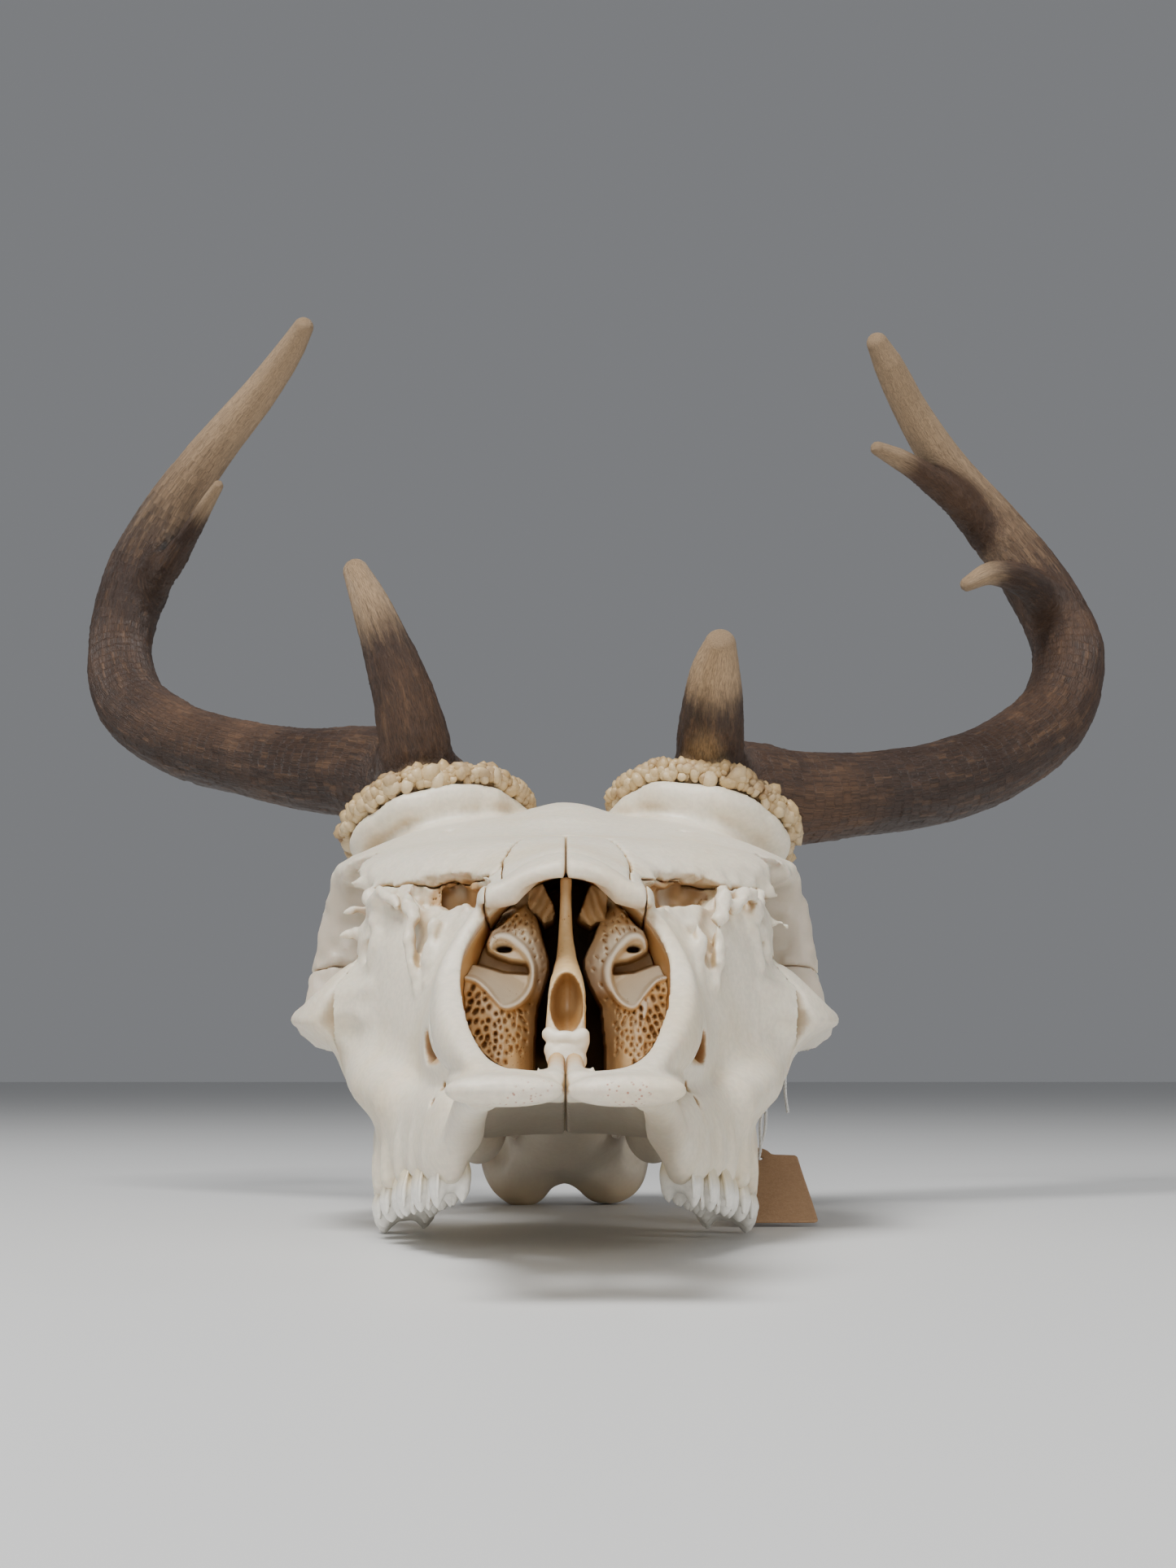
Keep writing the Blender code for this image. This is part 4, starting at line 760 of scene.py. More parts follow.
def join_bones(clay):
    """Everything that stands out of the skull."""
    clay.join(loft(MUZZLE, cap=3.0))
    clay.join(loft(ROOF, cap=3.0), 5.0)
    clay.join(loft(BRAINCASE, cap=6.0), 6.0)
    clay.join(loft(BASIOCCIPITAL, 1), 4.0)
    clay.join(tube(NUCHAL_CREST, 20), 7.0)
    clay.join(tube(SAGITTAL_RISE, 12), 8.0)
    for name, side in SIDES:
        clay.join(loft(PADDLE, side, cap=1.0), 1.6)
        clay.join(loft(ALVEOLUS, side, cap=7.0), 3.5)
        clay.join(loft(PTERYGOID, side), 2.0)
        clay.join(loft(ARCH, side, power=(1.25, 1.1)), 3.0)
        clay.join(ragged(loft(ORBIT_BAR, side, axis="z"), 0.8, 2.6, 8), 4.0)
        clay.join(ellipsoid((side * CONDYLE[0], *CONDYLE[1:]), CONDYLE_RADII), 5.0)
        clay.join(ellipsoid((side * BULLA[0], *BULLA[1:]), BULLA_RADII), 2.0)
        clay.join(pedicle(name, side), 5.0)
    clay.join(tube(BROW_RISE, 12), 9.0)
    clay.join(tube(OCCIPITAL_CREST, 12), 5.0)
    for line in (row for ridge in LACRIMAL_RIDGES for row in both(ridge)):
        clay.join(ragged(tube(line, 12), 0.9, 2.2, 14), 2.6)
    for line in both(CHEEK_CREST) + both(DIASTEMA):
        clay.join(tube(line, 12), 2.6)
    join_root_bulges(clay)
    for line in both(FACIAL_RIDGE):
        clay.join(tube(line, 12), 7.0)
    for line in both(PAROCCIPITAL) + both(MUSCLE_LINE) + both(EAR_TUBE):
        clay.join(tube(line, 12), 3.5)


def tooth_places():
    """Where each cheek tooth stands: x, y, the height of its edge, its length and its width."""
    total = sum(length for length, _ in TEETH)
    start, end = np.array(ROW_START), np.array(ROW_END)
    places, done = [], 0.0
    for length, width in TEETH:
        share = (done + length / 2) / total
        done += length
        x, y = start + (end - start) * share
        x += ROW_BOW * math.sin(math.pi * share)
        edge = max(0.05, CROWN_FRONT + (CROWN_REAR - CROWN_FRONT) * min(1.0, share / 0.9))
        places.append((x, y, edge, length, width))
    return places


def join_root_bulges(clay):
    """Upright swellings of the jaw over the roots of the cheek teeth."""
    for _, side in SIDES:
        for x, y, edge, length, width in tooth_places():
            for share in (-0.26, 0.26):
                out, along = side * (x + width / 2 - 1.9), y + share * length
                top = (out - side * 2.5, along, edge + 21, 1.2)
                clay.join(tube(((out, along, edge + 8.5, 2.0), (out, along, edge + 13, 2.1), top), 6), 1.6)


def carve_hollows(clay):
    """Nose, palate, orbits and the smaller holes."""
    clay.carve(slab(APERTURE, "yz", -40, 40), 1.3)
    clay.carve(loft(NASAL_CAVITY), 0.8)
    clay.carve(loft(PALATE_VAULT, cap=6.0), 3.0)
    clay.carve(ellipsoid(FORAMEN_MAGNUM, FORAMEN_RADII), 2.0)
    for _, side in SIDES:
        orbit = ellipsoid((side * ORBIT_CENTRE[0], *ORBIT_CENTRE[1:]), ORBIT_RADII)
        clay.carve(ragged(orbit, 1.3, 3.4, 9), 1.0)
        for centre, radii, soft in HOLLOWS:
            clay.carve(ellipsoid((side * centre[0], *centre[1:]), radii), soft)
    for line in both(ANTORBITAL_GAP[0]) + both(ANTORBITAL_GAP[1]):
        clay.carve(ragged(tube(line, 14), 1.1, 2.4, 10), 0.4)
    for line in both(INFRAORBITAL) + both(BROW_FORAMEN) + both(LACRIMAL_HOLLOW):
        clay.carve(tube(line, 10), 0.8)
    for line in both(SMALL_FORAMEN[0]) + both(SMALL_FORAMEN[1]) + both(PREMAXILLA_GROOVE) + [MIDLINE_CLEFT]:
        clay.carve(tube(line, 8), 0.5)


def join_fine_parts(clay):
    """Thin parts inside the nose and at the palate, made after the hollows."""
    for line in both(NASAL_LAPPET):
        clay.join(tube(line, 12), 2.0)
    for line in both(PALATINE_PROCESS) + both(PALATINE_SPIKE):
        clay.join(tube(line, 10), 0.8)
    for line in [*ORBIT_SPIKES, *(row for bit in LACY_BITS for row in both(bit))]:
        clay.join(ragged(tube(line, 10), 0.5, 1.4, 13), 0.8)
    clay.carve(slab(((-20, 0), (300, 0), (300, -30), (-20, -30)), "yz", -90, 90))
    grid = clay.grid()
    clay.field += 0.16 * grain_noise(*grid, 7.0, 3) + 0.05 * grain_noise(*grid, 2.2, 4)
    x, y, z = grid
    broken = ramp(13.0, 17.0, np.abs(x)) * ramp(112.0, 118.0, y) * ramp(166.0, 156.0, y)
    broken = broken * ramp(58.0, 64.0, z) * ramp(78.0, 73.0, z)
    clay.field += (0.9 * broken * grain_noise(x, y, z, 3.4, 15)).astype(np.float32)
    nape = 0.55 * ramp(226.0, 246.0, y) * grain_noise(x, y, z, 5.5, 16)
    clay.field += nape.astype(np.float32)


def bone_regions(clay):
    """How far each place is from the space of each bone, negative inside it."""
    x, y, z = clay.grid()
    wobble = 0.45 * grain_noise(x, y, z, 2.6, 11) + 0.5 * grain_noise(x, y, z, 9.0, 12)
    side_view, plan = (y, z), (np.abs(x), y)
    front = outline_distance((*PREMAXILLA_SUTURE, (31, -30), (-30, -30), (-30, 90), (62, 90)), *side_view)
    rear = outline_distance((*FRONTAL_SUTURE, (174, -30), (300, -30), (300, 150), (117, 150)), *side_view)
    nasal = outline_distance((*NASAL_HALF_PLAN, (-5, 151), (-5, 20)), *plan)
    front, rear = front + 0.4 * wobble, rear + 2.6 * wobble
    nasal = np.maximum(nasal + 0.5 * wobble, 57.0 - z)
    cheek = np.maximum(outline_distance(ZYGOMATIC_OUTLINE, *side_view), ZYGOMATIC_INSIDE - np.abs(x)) + wobble
    return {
        "premaxilla": np.maximum(front, -nasal),
        "nasal": nasal,
        "zygomatic": cheek,
        "cranium": np.maximum(rear, np.maximum(-nasal, -cheek)),
        "maxilla": np.maximum(np.maximum(-front, -rear), np.maximum(-nasal, -cheek)),
    }


def largest_piece(points, faces):
    """Drops loose scraps from a mesh."""
    owner = np.arange(len(points))
    while True:
        lowest = owner[faces].min(axis=1)
        before = owner.copy()
        for k in range(faces.shape[1]):
            np.minimum.at(owner, faces[:, k], lowest)
        owner = owner[owner]
        if (owner == before).all():
            break
    names, sizes = np.unique(owner, return_counts=True)
    keep = owner == names[sizes.argmax()]
    place = np.cumsum(keep) - 1
    return points[keep], place[faces[keep[faces[:, 0]]]]


def bone_piece(name, clay, region, side, look):
    """One bone, cut from the clay where its region and its side of the midline are."""
    field = smooth_max(clay.field, region + SUTURE / 2, 0.15)
    if side:
        field = smooth_max(field, SUTURE / 2 - side * clay.grid()[0], 0.3)
    solid_piece(name, clay, field, look, bone_masks, "bone")


def hollow_mask(points, normals, space):
    """How shut in each point is, from 0 in the open to 1 at the bottom of a crack. The materials darken by
    it, as painted shade.
    """
    shut = np.zeros(len(points))
    for reach, weight in ((1.2, 0.3), (3.5, 0.35), (8.0, 0.35)):
        room = np.clip(space.read(points + normals * reach), -reach, reach)
        shut += weight * (1 - np.clip(room / reach, 0, 1))
    return shut


def bone_masks(points, normals, space):
    """Where bone is shut in, amber inside the nose, in painted shade, pin-holed, or tan as painted shade near
    the floor, each from 0 to 1.
    """
    x, y, z = points.T
    cavity = loft(NASAL_CAVITY)[2](x, y, z)
    behind = outline_distance(APERTURE, y, z)
    # Amber on the walls deeper inside the nose: partly the oily bone's own tone, partly painted light that
    # comes through the thin bone.
    amber = ramp(1.6, -0.2, cavity) * ramp(0.6, 7.0, behind) * ramp(165.0, 150.0, y)
    orbit = ellipsoid(ORBIT_CENTRE, ORBIT_RADII)[2](np.abs(x), y, z)
    # Painted shade: grey-brown inside the orbits, on the front of the orbit bars, under the palate and on the
    # condyles under the arch.
    shut_in = ramp(1.5, -0.3, orbit) * ramp(50.0, 36.0, np.abs(x))
    facing = ramp(11.0, 7.0, orbit) * ramp(182.0, 190.0, y) * ramp(80.0, 74.0, z)
    facing = facing * ramp(0.0, -0.5, normals[:, 1])
    vault = ramp(22.0, 17.0, np.abs(x)) * ramp(30.0, 26.0, z) * ramp(48.0, 66.0, y)
    vault = vault * ramp(0.2, -0.4, normals[:, 2])
    rear = 0.65 * ramp(160.0, 205.0, y) * ramp(36.0, 27.0, z) * ramp(38.0, 30.0, np.abs(x))
    dusk = np.maximum.reduce([shut_in, facing, 0.6 * vault, rear])
    porous = ramp(12.0, 2.0, y) * ramp(34.0, 31.5, z) * (0.34 + 0.24 * ramp(2.0, 7.0, x) * ramp(14.0, 9.0, x))
    # Painted shade: the lowest parts of the condyles, near the floor, are tinted tan.
    tan = ramp(9.0, 2.0, z) * ramp(225.0, 245.0, y) * 0.8
    hollow = hollow_mask(points, normals, space)
    folded = np.abs(points)
    gap, hole = bar_distance(folded, ANTORBITAL_GAP[1]), bar_distance(folded, INFRAORBITAL)
    amber = np.maximum(amber, 0.85 * np.maximum(ramp(1.4, 0.3, gap), ramp(0.4, 0.0, hole)))
    # Painted shade: the inside of the foramen magnum, closed by bone behind it, is painted dark brown.
    foramen_shade = ramp(0.4, -0.4, ellipsoid(FORAMEN_MAGNUM, FORAMEN_RADII)[2](x, y, z)) * ramp(271.0, 264.0, y)
    amber, hollow = np.maximum(amber, foramen_shade), np.maximum(hollow, foramen_shade)
    return {"hollow": hollow, "amber": amber, "dusk": dusk * 0.8, "porous": porous, "tan": tan}


def burr_frame(side):
    """The direction out of a pedicle, and two directions across it."""
    axis = np.array((side * BURR_AXIS[0], *BURR_AXIS[1:]))
    axis /= np.linalg.norm(axis)
    across = np.cross(axis, (0.0, 1.0, 0.1))
    across /= np.linalg.norm(across)
    return axis, across, np.cross(axis, across)


def feed(tree, sockets, inputs):
    """Sets inputs to values, or links them from outputs."""
    for key, value in dict(inputs).items():
        if isinstance(value, bpy.types.NodeSocket):
            tree.links.new(value, sockets[key])
        else:
            sockets[key].default_value = value


def add_node(tree, kind, inputs=(), **settings):
    """A new node with its settings, and with inputs that are values or outputs."""
    node = tree.nodes.new(kind)
    for key, value in settings.items():
        setattr(node, key, value)
    feed(tree, node.inputs, inputs)
    return node


def made_by(tree, kind, inputs=(), **settings):
    """The first output of a new node."""
    return add_node(tree, kind, inputs, **settings).outputs[0]


def start_tree(name, kind, inputs, outputs):
    """An empty tree with named inputs and outputs, and the sockets inside it that they lead to."""
    tree = bpy.data.node_groups.new(name, kind)
    for label, socket, value in inputs:
        made = tree.interface.new_socket(label, in_out="INPUT", socket_type=f"NodeSocket{socket}")
        if value is not None:
            made.default_value = value
    for label, socket in outputs:
        tree.interface.new_socket(label, in_out="OUTPUT", socket_type=f"NodeSocket{socket}")
    return tree, tree.nodes.new("NodeGroupInput").outputs, tree.nodes.new("NodeGroupOutput").inputs


def shape_tree(name, *inputs):
    """An empty geometry tree that takes geometry, a material and these inputs."""
    inputs = (("Geometry", "Geometry", None), *inputs, ("Material", "Material", None))
    return start_tree(name, "GeometryNodeTree", inputs, (("Geometry", "Geometry"),))


def end_shape_tree(tree, given, result, geometry):
    """Ends a geometry tree: the geometry is made real and given its material."""
    real = made_by(tree, "GeometryNodeRealizeInstances", {"Geometry": geometry})
    dressed = made_by(tree, "GeometryNodeSetMaterial", {"Geometry": real, "Material": given["Material"]})
    tree.links.new(dressed, result["Geometry"])
    return tree


def maths(tree, operation, first, second):
    return made_by(tree, "ShaderNodeMath", {0: first, 1: second}, operation=operation)


def scaled(tree, vector, amount):
    return made_by(tree, "ShaderNodeVectorMath", {0: vector, "Scale": amount}, operation="SCALE")


def named(tree, name, kind):
    return made_by(tree, "GeometryNodeInputNamedAttribute", {"Name": name}, data_type=kind)


def moved(tree, geometry, offset):
    return made_by(tree, "GeometryNodeSetPosition", {"Geometry": geometry, "Offset": offset})


def mixed(tree, share, first, second, way="MIX"):
    """One colour turned into another by a share, or tinted by it."""
    first, second = (c if isinstance(c, bpy.types.NodeSocket) else (*c, 1.0) for c in (first, second))
    inputs = {0: share, 6: first, 7: second}
    return add_node(tree, "ShaderNodeMix", inputs, data_type="RGBA", blend_type=way).outputs[2]


def tinted(tree, tint, *steps):
    """A colour with others laid over it in turn, each where a mask or an output says so."""
    for share, other in steps:
        tint = mixed(tree, attribute(tree, share) if isinstance(share, str) else share, tint, other)
    return tint


def shaded(tree, tint, grey):
    """A colour made lighter or darker by a number."""
    grey = made_by(tree, "ShaderNodeCombineColor", {0: grey, 1: grey, 2: grey})
    return mixed(tree, 1.0, tint, grey, "MULTIPLY")


def remap(tree, value, low, high, start=0.0, end=1.0):
    inputs = {"Value": value, 1: low, 2: high, 3: start, 4: end}
    return made_by(tree, "ShaderNodeMapRange", inputs, interpolation_type="SMOOTHSTEP")


def noise(tree, place, scale, detail, rough=0.5, bent=0.0):
    inputs = {"Vector": place, "Scale": scale, "Detail": detail, "Roughness": rough, "Distortion": bent}
    return made_by(tree, "ShaderNodeTexNoise", inputs)


def attribute(tree, name):
    return add_node(tree, "ShaderNodeAttribute", attribute_name=name).outputs["Fac"]


def object_place(tree):
    return add_node(tree, "ShaderNodeTexCoord").outputs["Object"]


def weathering_group():
    """Patches of stain, dark grime in patches and painted shade in the hollows, and a fine mottle, for
    anything old and dry.
    """
    tree, given, result = start_tree("weathering", "ShaderNodeTree", (
        ("Clean", "Color", (0.8, 0.7, 0.6, 1)),
        ("Stained", "Color", (0.6, 0.5, 0.3, 1)),
        ("Dirt And Shade", "Color", (0.2, 0.1, 0.05, 1)),
        ("Stain", "Float", 0.5),
        ("Hollow", "Float", 0.0),
        ("Scale", "Float", 40.0),
    ), (("Colour", "Color"), ("Roughness", "Float"), ("Height", "Float")))
    place = object_place(tree)
    patches = noise(tree, place, given["Scale"], 6.0, 0.62, 0.4)
    fine = noise(tree, place, 900.0, 3.0)
    stain = maths(tree, "MULTIPLY", remap(tree, patches, 0.42, 0.72), given["Stain"])
    edge = made_by(tree, "ShaderNodeMath", {0: patches, 1: 0.35, 2: -0.17}, operation="MULTIPLY_ADD")
    # Painted shade: the hollow mask darkens cracks and hollows with the dark colour, on top of random grime
    # patches.
    dirt_and_shade = remap(tree, maths(tree, "ADD", given["Hollow"], edge), 0.3, 0.9)
    tint = tinted(tree, given["Clean"], (stain, given["Stained"]), (dirt_and_shade, given["Dirt And Shade"]))
    feed(tree, result, {
        "Colour": shaded(tree, tint, remap(tree, fine, 0.3, 0.7, 0.94, 1.04)),
        "Roughness": remap(tree, patches, 0.3, 0.75, 0.38, 0.62),
        "Height": maths(tree, "ADD", fine, maths(tree, "MULTIPLY", patches, 1.5)),
    })
    return tree


def pores_group():
    """Scattered pin holes in patches: a mask that the materials colour as painted shade in them, and a
    height.
    """
    inputs = (("Scale", "Float", 900.0), ("Size", "Float", 0.22), ("Share", "Float", 0.5))
    outputs = (("Holes", "Float"), ("Height", "Float"))
    tree, given, result = start_tree("pin holes", "ShaderNodeTree", inputs, outputs)
    place = object_place(tree)
    cells = {"Vector": place, "Scale": given["Scale"], "Randomness": 1.0}
    away = add_node(tree, "ShaderNodeTexVoronoi", cells).outputs["Distance"]
    hole = remap(tree, away, given["Size"], maths(tree, "MULTIPLY", given["Size"], 0.5))
    shown = remap(tree, maths(tree, "ADD", noise(tree, place, 150.0, 2.0), given["Share"]), 0.9, 1.05)
    holes = maths(tree, "MULTIPLY", hole, shown)
    feed(tree, result, {"Holes": holes, "Height": maths(tree, "MULTIPLY", holes, -1.0)})
    return tree


def start_look(name):
    look = bpy.data.materials.new(name)
    look.use_nodes = True
    return look, look.node_tree


def end_look(look, tint, roughness, height, strength, distance, more=()):
    """Joins up a material: the shader's own inputs, and a bump made from a height."""
    tree = look.node_tree
    bump = made_by(tree, "ShaderNodeBump", {"Height": height, "Strength": strength, "Distance": distance})
    inputs = {"Base Color": tint, "Roughness": roughness, "Normal": bump, **dict(more)}
    feed(tree, tree.nodes["Principled BSDF"].inputs, inputs)
    return look


def worn(tree, weathering, clean, stained, dirt_and_shade, stain, scale, **more):
    """The outputs of the weathering group with these colours, share of stain and scale of its patches."""
    colours = {"Clean": (*clean, 1.0), "Stained": (*stained, 1.0), "Dirt And Shade": (*dirt_and_shade, 1.0)}
    inputs = {**colours, "Stain": stain, "Scale": scale, **more}
    return add_node(tree, "ShaderNodeGroup", inputs, node_tree=weathering).outputs


def pin_holes(tree, pores, old, scale, size, share):
    """The mask of some pin holes, and an old surface's height with them in it."""
    inputs = {"Scale": scale, "Size": size, "Share": share}
    holes = add_node(tree, "ShaderNodeGroup", inputs, node_tree=pores).outputs
    return holes["Holes"], maths(tree, "ADD", old["Height"], maths(tree, "MULTIPLY", holes["Height"], 3.0))


def bone_material(weathering, pores):
    look, tree = start_look("bone")
    hollow = attribute(tree, "hollow")
    old = worn(
        tree, weathering, clean=(0.81, 0.73, 0.585), stained=(0.72, 0.60, 0.41), dirt_and_shade=(0.50, 0.36, 0.20),
        stain=0.7, scale=28.0, Hollow=hollow,
    )
    holes, height = pin_holes(tree, pores, old, 1300.0, 0.3, attribute(tree, "porous"))
    # The amber tone, turned to dark brown where the bone is shut in: painted shade.
    amber = mixed(tree, hollow, (0.66, 0.40, 0.15), (0.26, 0.11, 0.03))
    # Laid over the stained bone in turn: amber, painted shade, tan as painted shade under the condyles, and
    # painted shade in the pin holes.
    tint = tinted(
        tree, old["Colour"], ("amber", amber), ("dusk", (0.50, 0.42, 0.33)), ("tan", (0.62, 0.47, 0.28)),
        (holes, (0.50, 0.24, 0.16)),
    )
    waxy = {"Subsurface Weight": 0.12, "Subsurface Scale": 0.004}
    return end_look(look, tint, old["Roughness"], height, strength=0.35, distance=0.00012, more=waxy)


def thin_bone_material(weathering, pores):
    look, tree = start_look("thin bone")
    old = worn(
        tree, weathering, clean=(0.80, 0.58, 0.29), stained=(0.84, 0.68, 0.42), dirt_and_shade=(0.42, 0.22, 0.07),
        stain=0.8, scale=120.0, Hollow=attribute(tree, "hollow"),
    )
    holes, height = pin_holes(tree, pores, old, 1500.0, 0.28, 0.35)
    # Laid on in turn: the pale edges, painted shade deeper in from the deep mask, and painted shade in the
    # pin holes and the slots.
    tint = tinted(
        tree, old["Colour"], ("pale", (0.95, 0.87, 0.70)), ("deep", (0.27, 0.105, 0.012)),
        (holes, (0.34, 0.16, 0.05)), ("pore", (0.38, 0.20, 0.07)),
    )
    return end_look(look, tint, old["Roughness"], height, strength=0.4, distance=0.00015)


def enamel_material(weathering):
    look, tree = start_look("enamel")
    root = attribute(tree, "root")
    old = worn(
        tree, weathering, clean=(0.88, 0.85, 0.77), stained=(0.78, 0.66, 0.44), dirt_and_shade=(0.32, 0.19, 0.07),
        stain=root, scale=260.0, Hollow=attribute(tree, "hollow"),
    )
    tint = mixed(tree, root, old["Colour"], (0.76, 0.66, 0.46))
    return end_look(look, tint, 0.28, old["Height"], strength=0.2, distance=0.0001, more={"Coat Weight": 0.2})


def antler_material(weathering):
    look, tree = start_look("antler")
    grain = add_node(tree, "ShaderNodeAttribute", attribute_name="grain").outputs["Vector"]
    coarse, fine = noise(tree, grain, 5.0, 6.0, 0.65), noise(tree, grain, 26.0, 4.0, 0.7)
    old = worn(
        tree, weathering, clean=(0.042, 0.021, 0.012), stained=(0.12, 0.058, 0.027),
        dirt_and_shade=(0.016, 0.009, 0.006), stain=0.8, scale=18.0, Hollow=attribute(tree, "hollow"),
    )
    streak = maths(tree, "MULTIPLY", remap(tree, coarse, 0.5, 0.72), 0.5)
    tip = maths(tree, "ADD", attribute(tree, "tip"), maths(tree, "MULTIPLY", coarse, 0.5))
    tint = tinted(
        tree, old["Colour"], (streak, (0.19, 0.10, 0.048)),
        (remap(tree, tip, 0.55, 1.2), (0.46, 0.31, 0.18)), ("rim", (0.36, 0.23, 0.11)),
    )
    tint = shaded(tree, tint, remap(tree, fine, 0.35, 0.6, 0.55, 1.1))
    height = maths(tree, "ADD", coarse, maths(tree, "MULTIPLY", fine, 0.6))
    return end_look(look, tint, old["Roughness"], height, strength=0.8, distance=0.0012)


def bead_material(weathering):
    look, tree = start_look("burr beads")
    old = worn(
        tree, weathering, clean=(0.52, 0.36, 0.17), stained=(0.24, 0.13, 0.055), dirt_and_shade=(0.14, 0.075, 0.035),
        stain=1.0, scale=160.0,
    )
    tint = tinted(tree, old["Colour"], ("cream", (0.74, 0.60, 0.38)))
    return end_look(look, tint, old["Roughness"], old["Height"], strength=0.5, distance=0.0003)


def paper_material(weathering):
    look, tree = start_look("kraft paper")
    fibres = noise(tree, object_place(tree), 1600.0, 4.0, 0.5, 1.6)
    old = worn(
        tree, weathering, clean=(0.36, 0.215, 0.115), stained=(0.31, 0.18, 0.095), dirt_and_shade=(0.2, 0.11, 0.06),
        stain=0.7, scale=90.0,
    )
    tint = mixed(tree, remap(tree, fibres, 0.45, 0.7, 0.0, 0.4), old["Colour"], (0.50, 0.33, 0.19))
    return end_look(look, tint, 0.85, fibres, strength=0.3, distance=0.0001)


def string_material(weathering):
    look, tree = start_look("white string")
    old = worn(
        tree, weathering, clean=(0.84, 0.84, 0.81), stained=(0.74, 0.73, 0.68), dirt_and_shade=(0.5, 0.47, 0.4),
        stain=0.7, scale=300.0,
    )
    return end_look(look, old["Colour"], 0.8, old["Height"], strength=0.4, distance=0.0001)


def floor_material():
    look, tree = start_look("pale floor")
    feed(tree, tree.nodes["Principled BSDF"].inputs, {"Base Color": (0.7, 0.7, 0.69, 1)})
    return look


def build_skull(look):
    """All bones of the skull, from a fine block for the nose and a coarser one behind it."""
    fine = Clay((-48, -4, 2), (48, 178, 84), FINE_STEP)
    coarse = Clay((-66, 104, -1), (66, 280, 104), COARSE_STEP)
    for clay in (fine, coarse):
        join_bones(clay)
        carve_hollows(clay)
        join_fine_parts(clay)
    for clay, bones in ((fine, ("premaxilla", "nasal", "maxilla")), (coarse, ("zygomatic",))):
        regions = bone_regions(clay)
        for bone in bones:
            for name, side in SIDES:
                bone_piece(f"{bone}_{name}", clay, regions[bone], side, look)
    bone_piece("cranium", coarse, regions["cranium"], 0, look)


def flat_bar(u, z, rows, count=30):
    """As bar_distance, for rows of x, z and half width in the front view."""
    points = np.stack([u.ravel(), np.zeros(u.size), z.ravel()], axis=1)
    return bar_distance(points, [(x, 0.0, level, half) for x, level, half in rows], count).reshape(u.shape)


def scatter_pores(seed):
    """Slots in the rolled bone: place, direction away from its lip, half length and half width."""
    generator = np.random.default_rng(seed)
    kept = []
    for low, high, count, half, wide, space in PORE_FIELDS:
        for u, z in generator.uniform(low, high, (count, 2)):
            if all(math.hypot(u - other[0], z - other[1]) > space for other in kept):
                lean = np.array((u - 11.2, z - 50.0)) if z < 46 else np.array((-0.45, 1.0))
                lean = lean / np.linalg.norm(lean) + generator.uniform(-0.25, 0.25, 2)
                lean /= np.linalg.norm(lean)
                size = (half * generator.uniform(0.6, 1.4), wide * generator.uniform(0.7, 1.3))
                kept.append((u, z, *lean, *size))
    return kept


def roll_front(u, z, pores):
    """How far back the front of the rolled bone lies, and how pale, deep and open it is there. Deep is
    painted shade further in and in corners, over the bone's own brown.
    """

    def within(outline, soft):
        return ramp(soft, -soft, outline_distance(outline, u, z))

    edge = -outline_distance(ROLL_EDGE, u, z)
    below = ramp(47.0, 45.0, z)
    ridge = below * ramp(1.2, -0.3, flat_bar(u, z, LOWER_RIDGE))
    front = 61.8 + 6.0 * (1 - np.clip(edge / 3.6, 0, 1)) ** 2 + 1.25 * np.clip(z - 57.0, 0, 6)
    front = front + below * (0.33 * np.abs(u - 11.5)) - 0.5 * ridge
    wall, stripe = within(WALL, 0.25), within(STRIPE, 0.5)
    bowl, under = within(BOWL, 0.2), within(UNDER_PLATE, 0.2)
    lip, shelf = flat_bar(u, z, CURL), flat_bar(u, z, SHELF_EDGE)
    on_lip, on_shelf = ramp(0.12, -0.15, lip), ramp(0.12, -0.15, shelf)
    hole = np.hypot((u - CURL_HOLE[0]) / CURL_HOLE_RADII[0], (z - CURL_HOLE[1]) / CURL_HOLE_RADII[1])
    hole = ramp(1.15, 0.85, hole)
    risen = np.clip((z - 44.6 - 0.575 * (u - 10.8)) / 6.0, 0, 1)
    body = 1 - np.maximum.reduce([wall, bowl, under, on_lip, on_shelf])
    # The carved slots, which the material colours brown as painted shade in them.
    pore = np.zeros(u.shape)
    for x, level, along_x, along_z, half, wide in pores:
        near = (np.abs(u - x) < 1.6) & (np.abs(z - level) < 1.6)
        away, rise = u[near] - x, z[near] - level
        reach = np.hypot((away * along_x + rise * along_z) / half, (away * along_z - rise * along_x) / wide)
        pore[near] = np.maximum(pore[near], ramp(1.3, 0.7, reach))
    pore *= ramp(0.5, 0.9, body) * ramp(0.5, 1.2, edge)
    for share, level in (
        (wall, 72.0), (stripe, 68.5), (bowl, 60.4 + 7.0 * risen**0.8), (under, 63.5), (hole, 71.0),
        (on_lip, 59.8 + np.clip(1 + lip / 0.7, 0, 1) ** 2),
        (on_shelf, 60.2 + 0.6 * np.clip(1 + shelf / 0.5, 0, 1) ** 2), (pore, front + 2.6),
    ):
        front = front + share * (level - front)
    cream = 0.8 * body * (1 - below) * ramp(3.8, 0.3, lip) * ramp(60.5, 56.5, z)
    # Painted shade: the bowl's upper part, which recedes, is less pale.
    bowl = bowl * (1 - 0.4 * risen)
    pale = np.maximum.reduce([on_lip, on_shelf, bowl, 0.75 * stripe, 0.6 * under, 0.35 * ridge, cream])
    # Painted shade near the outer edge, low on the inner side, on the rear wall and in the curl's hole.
    brown = body * np.maximum(0.5 * ramp(2.6, 0.2, edge), 0.3 * below * ramp(9.5, 6.5, u))
    deep = np.maximum.reduce([0.5 * wall * (1 - stripe), brown, 0.8 * hole])
    return np.where(edge > 0, front, BEYOND_NOSE), {"pale": pale, "deep": deep, "pore": pore}


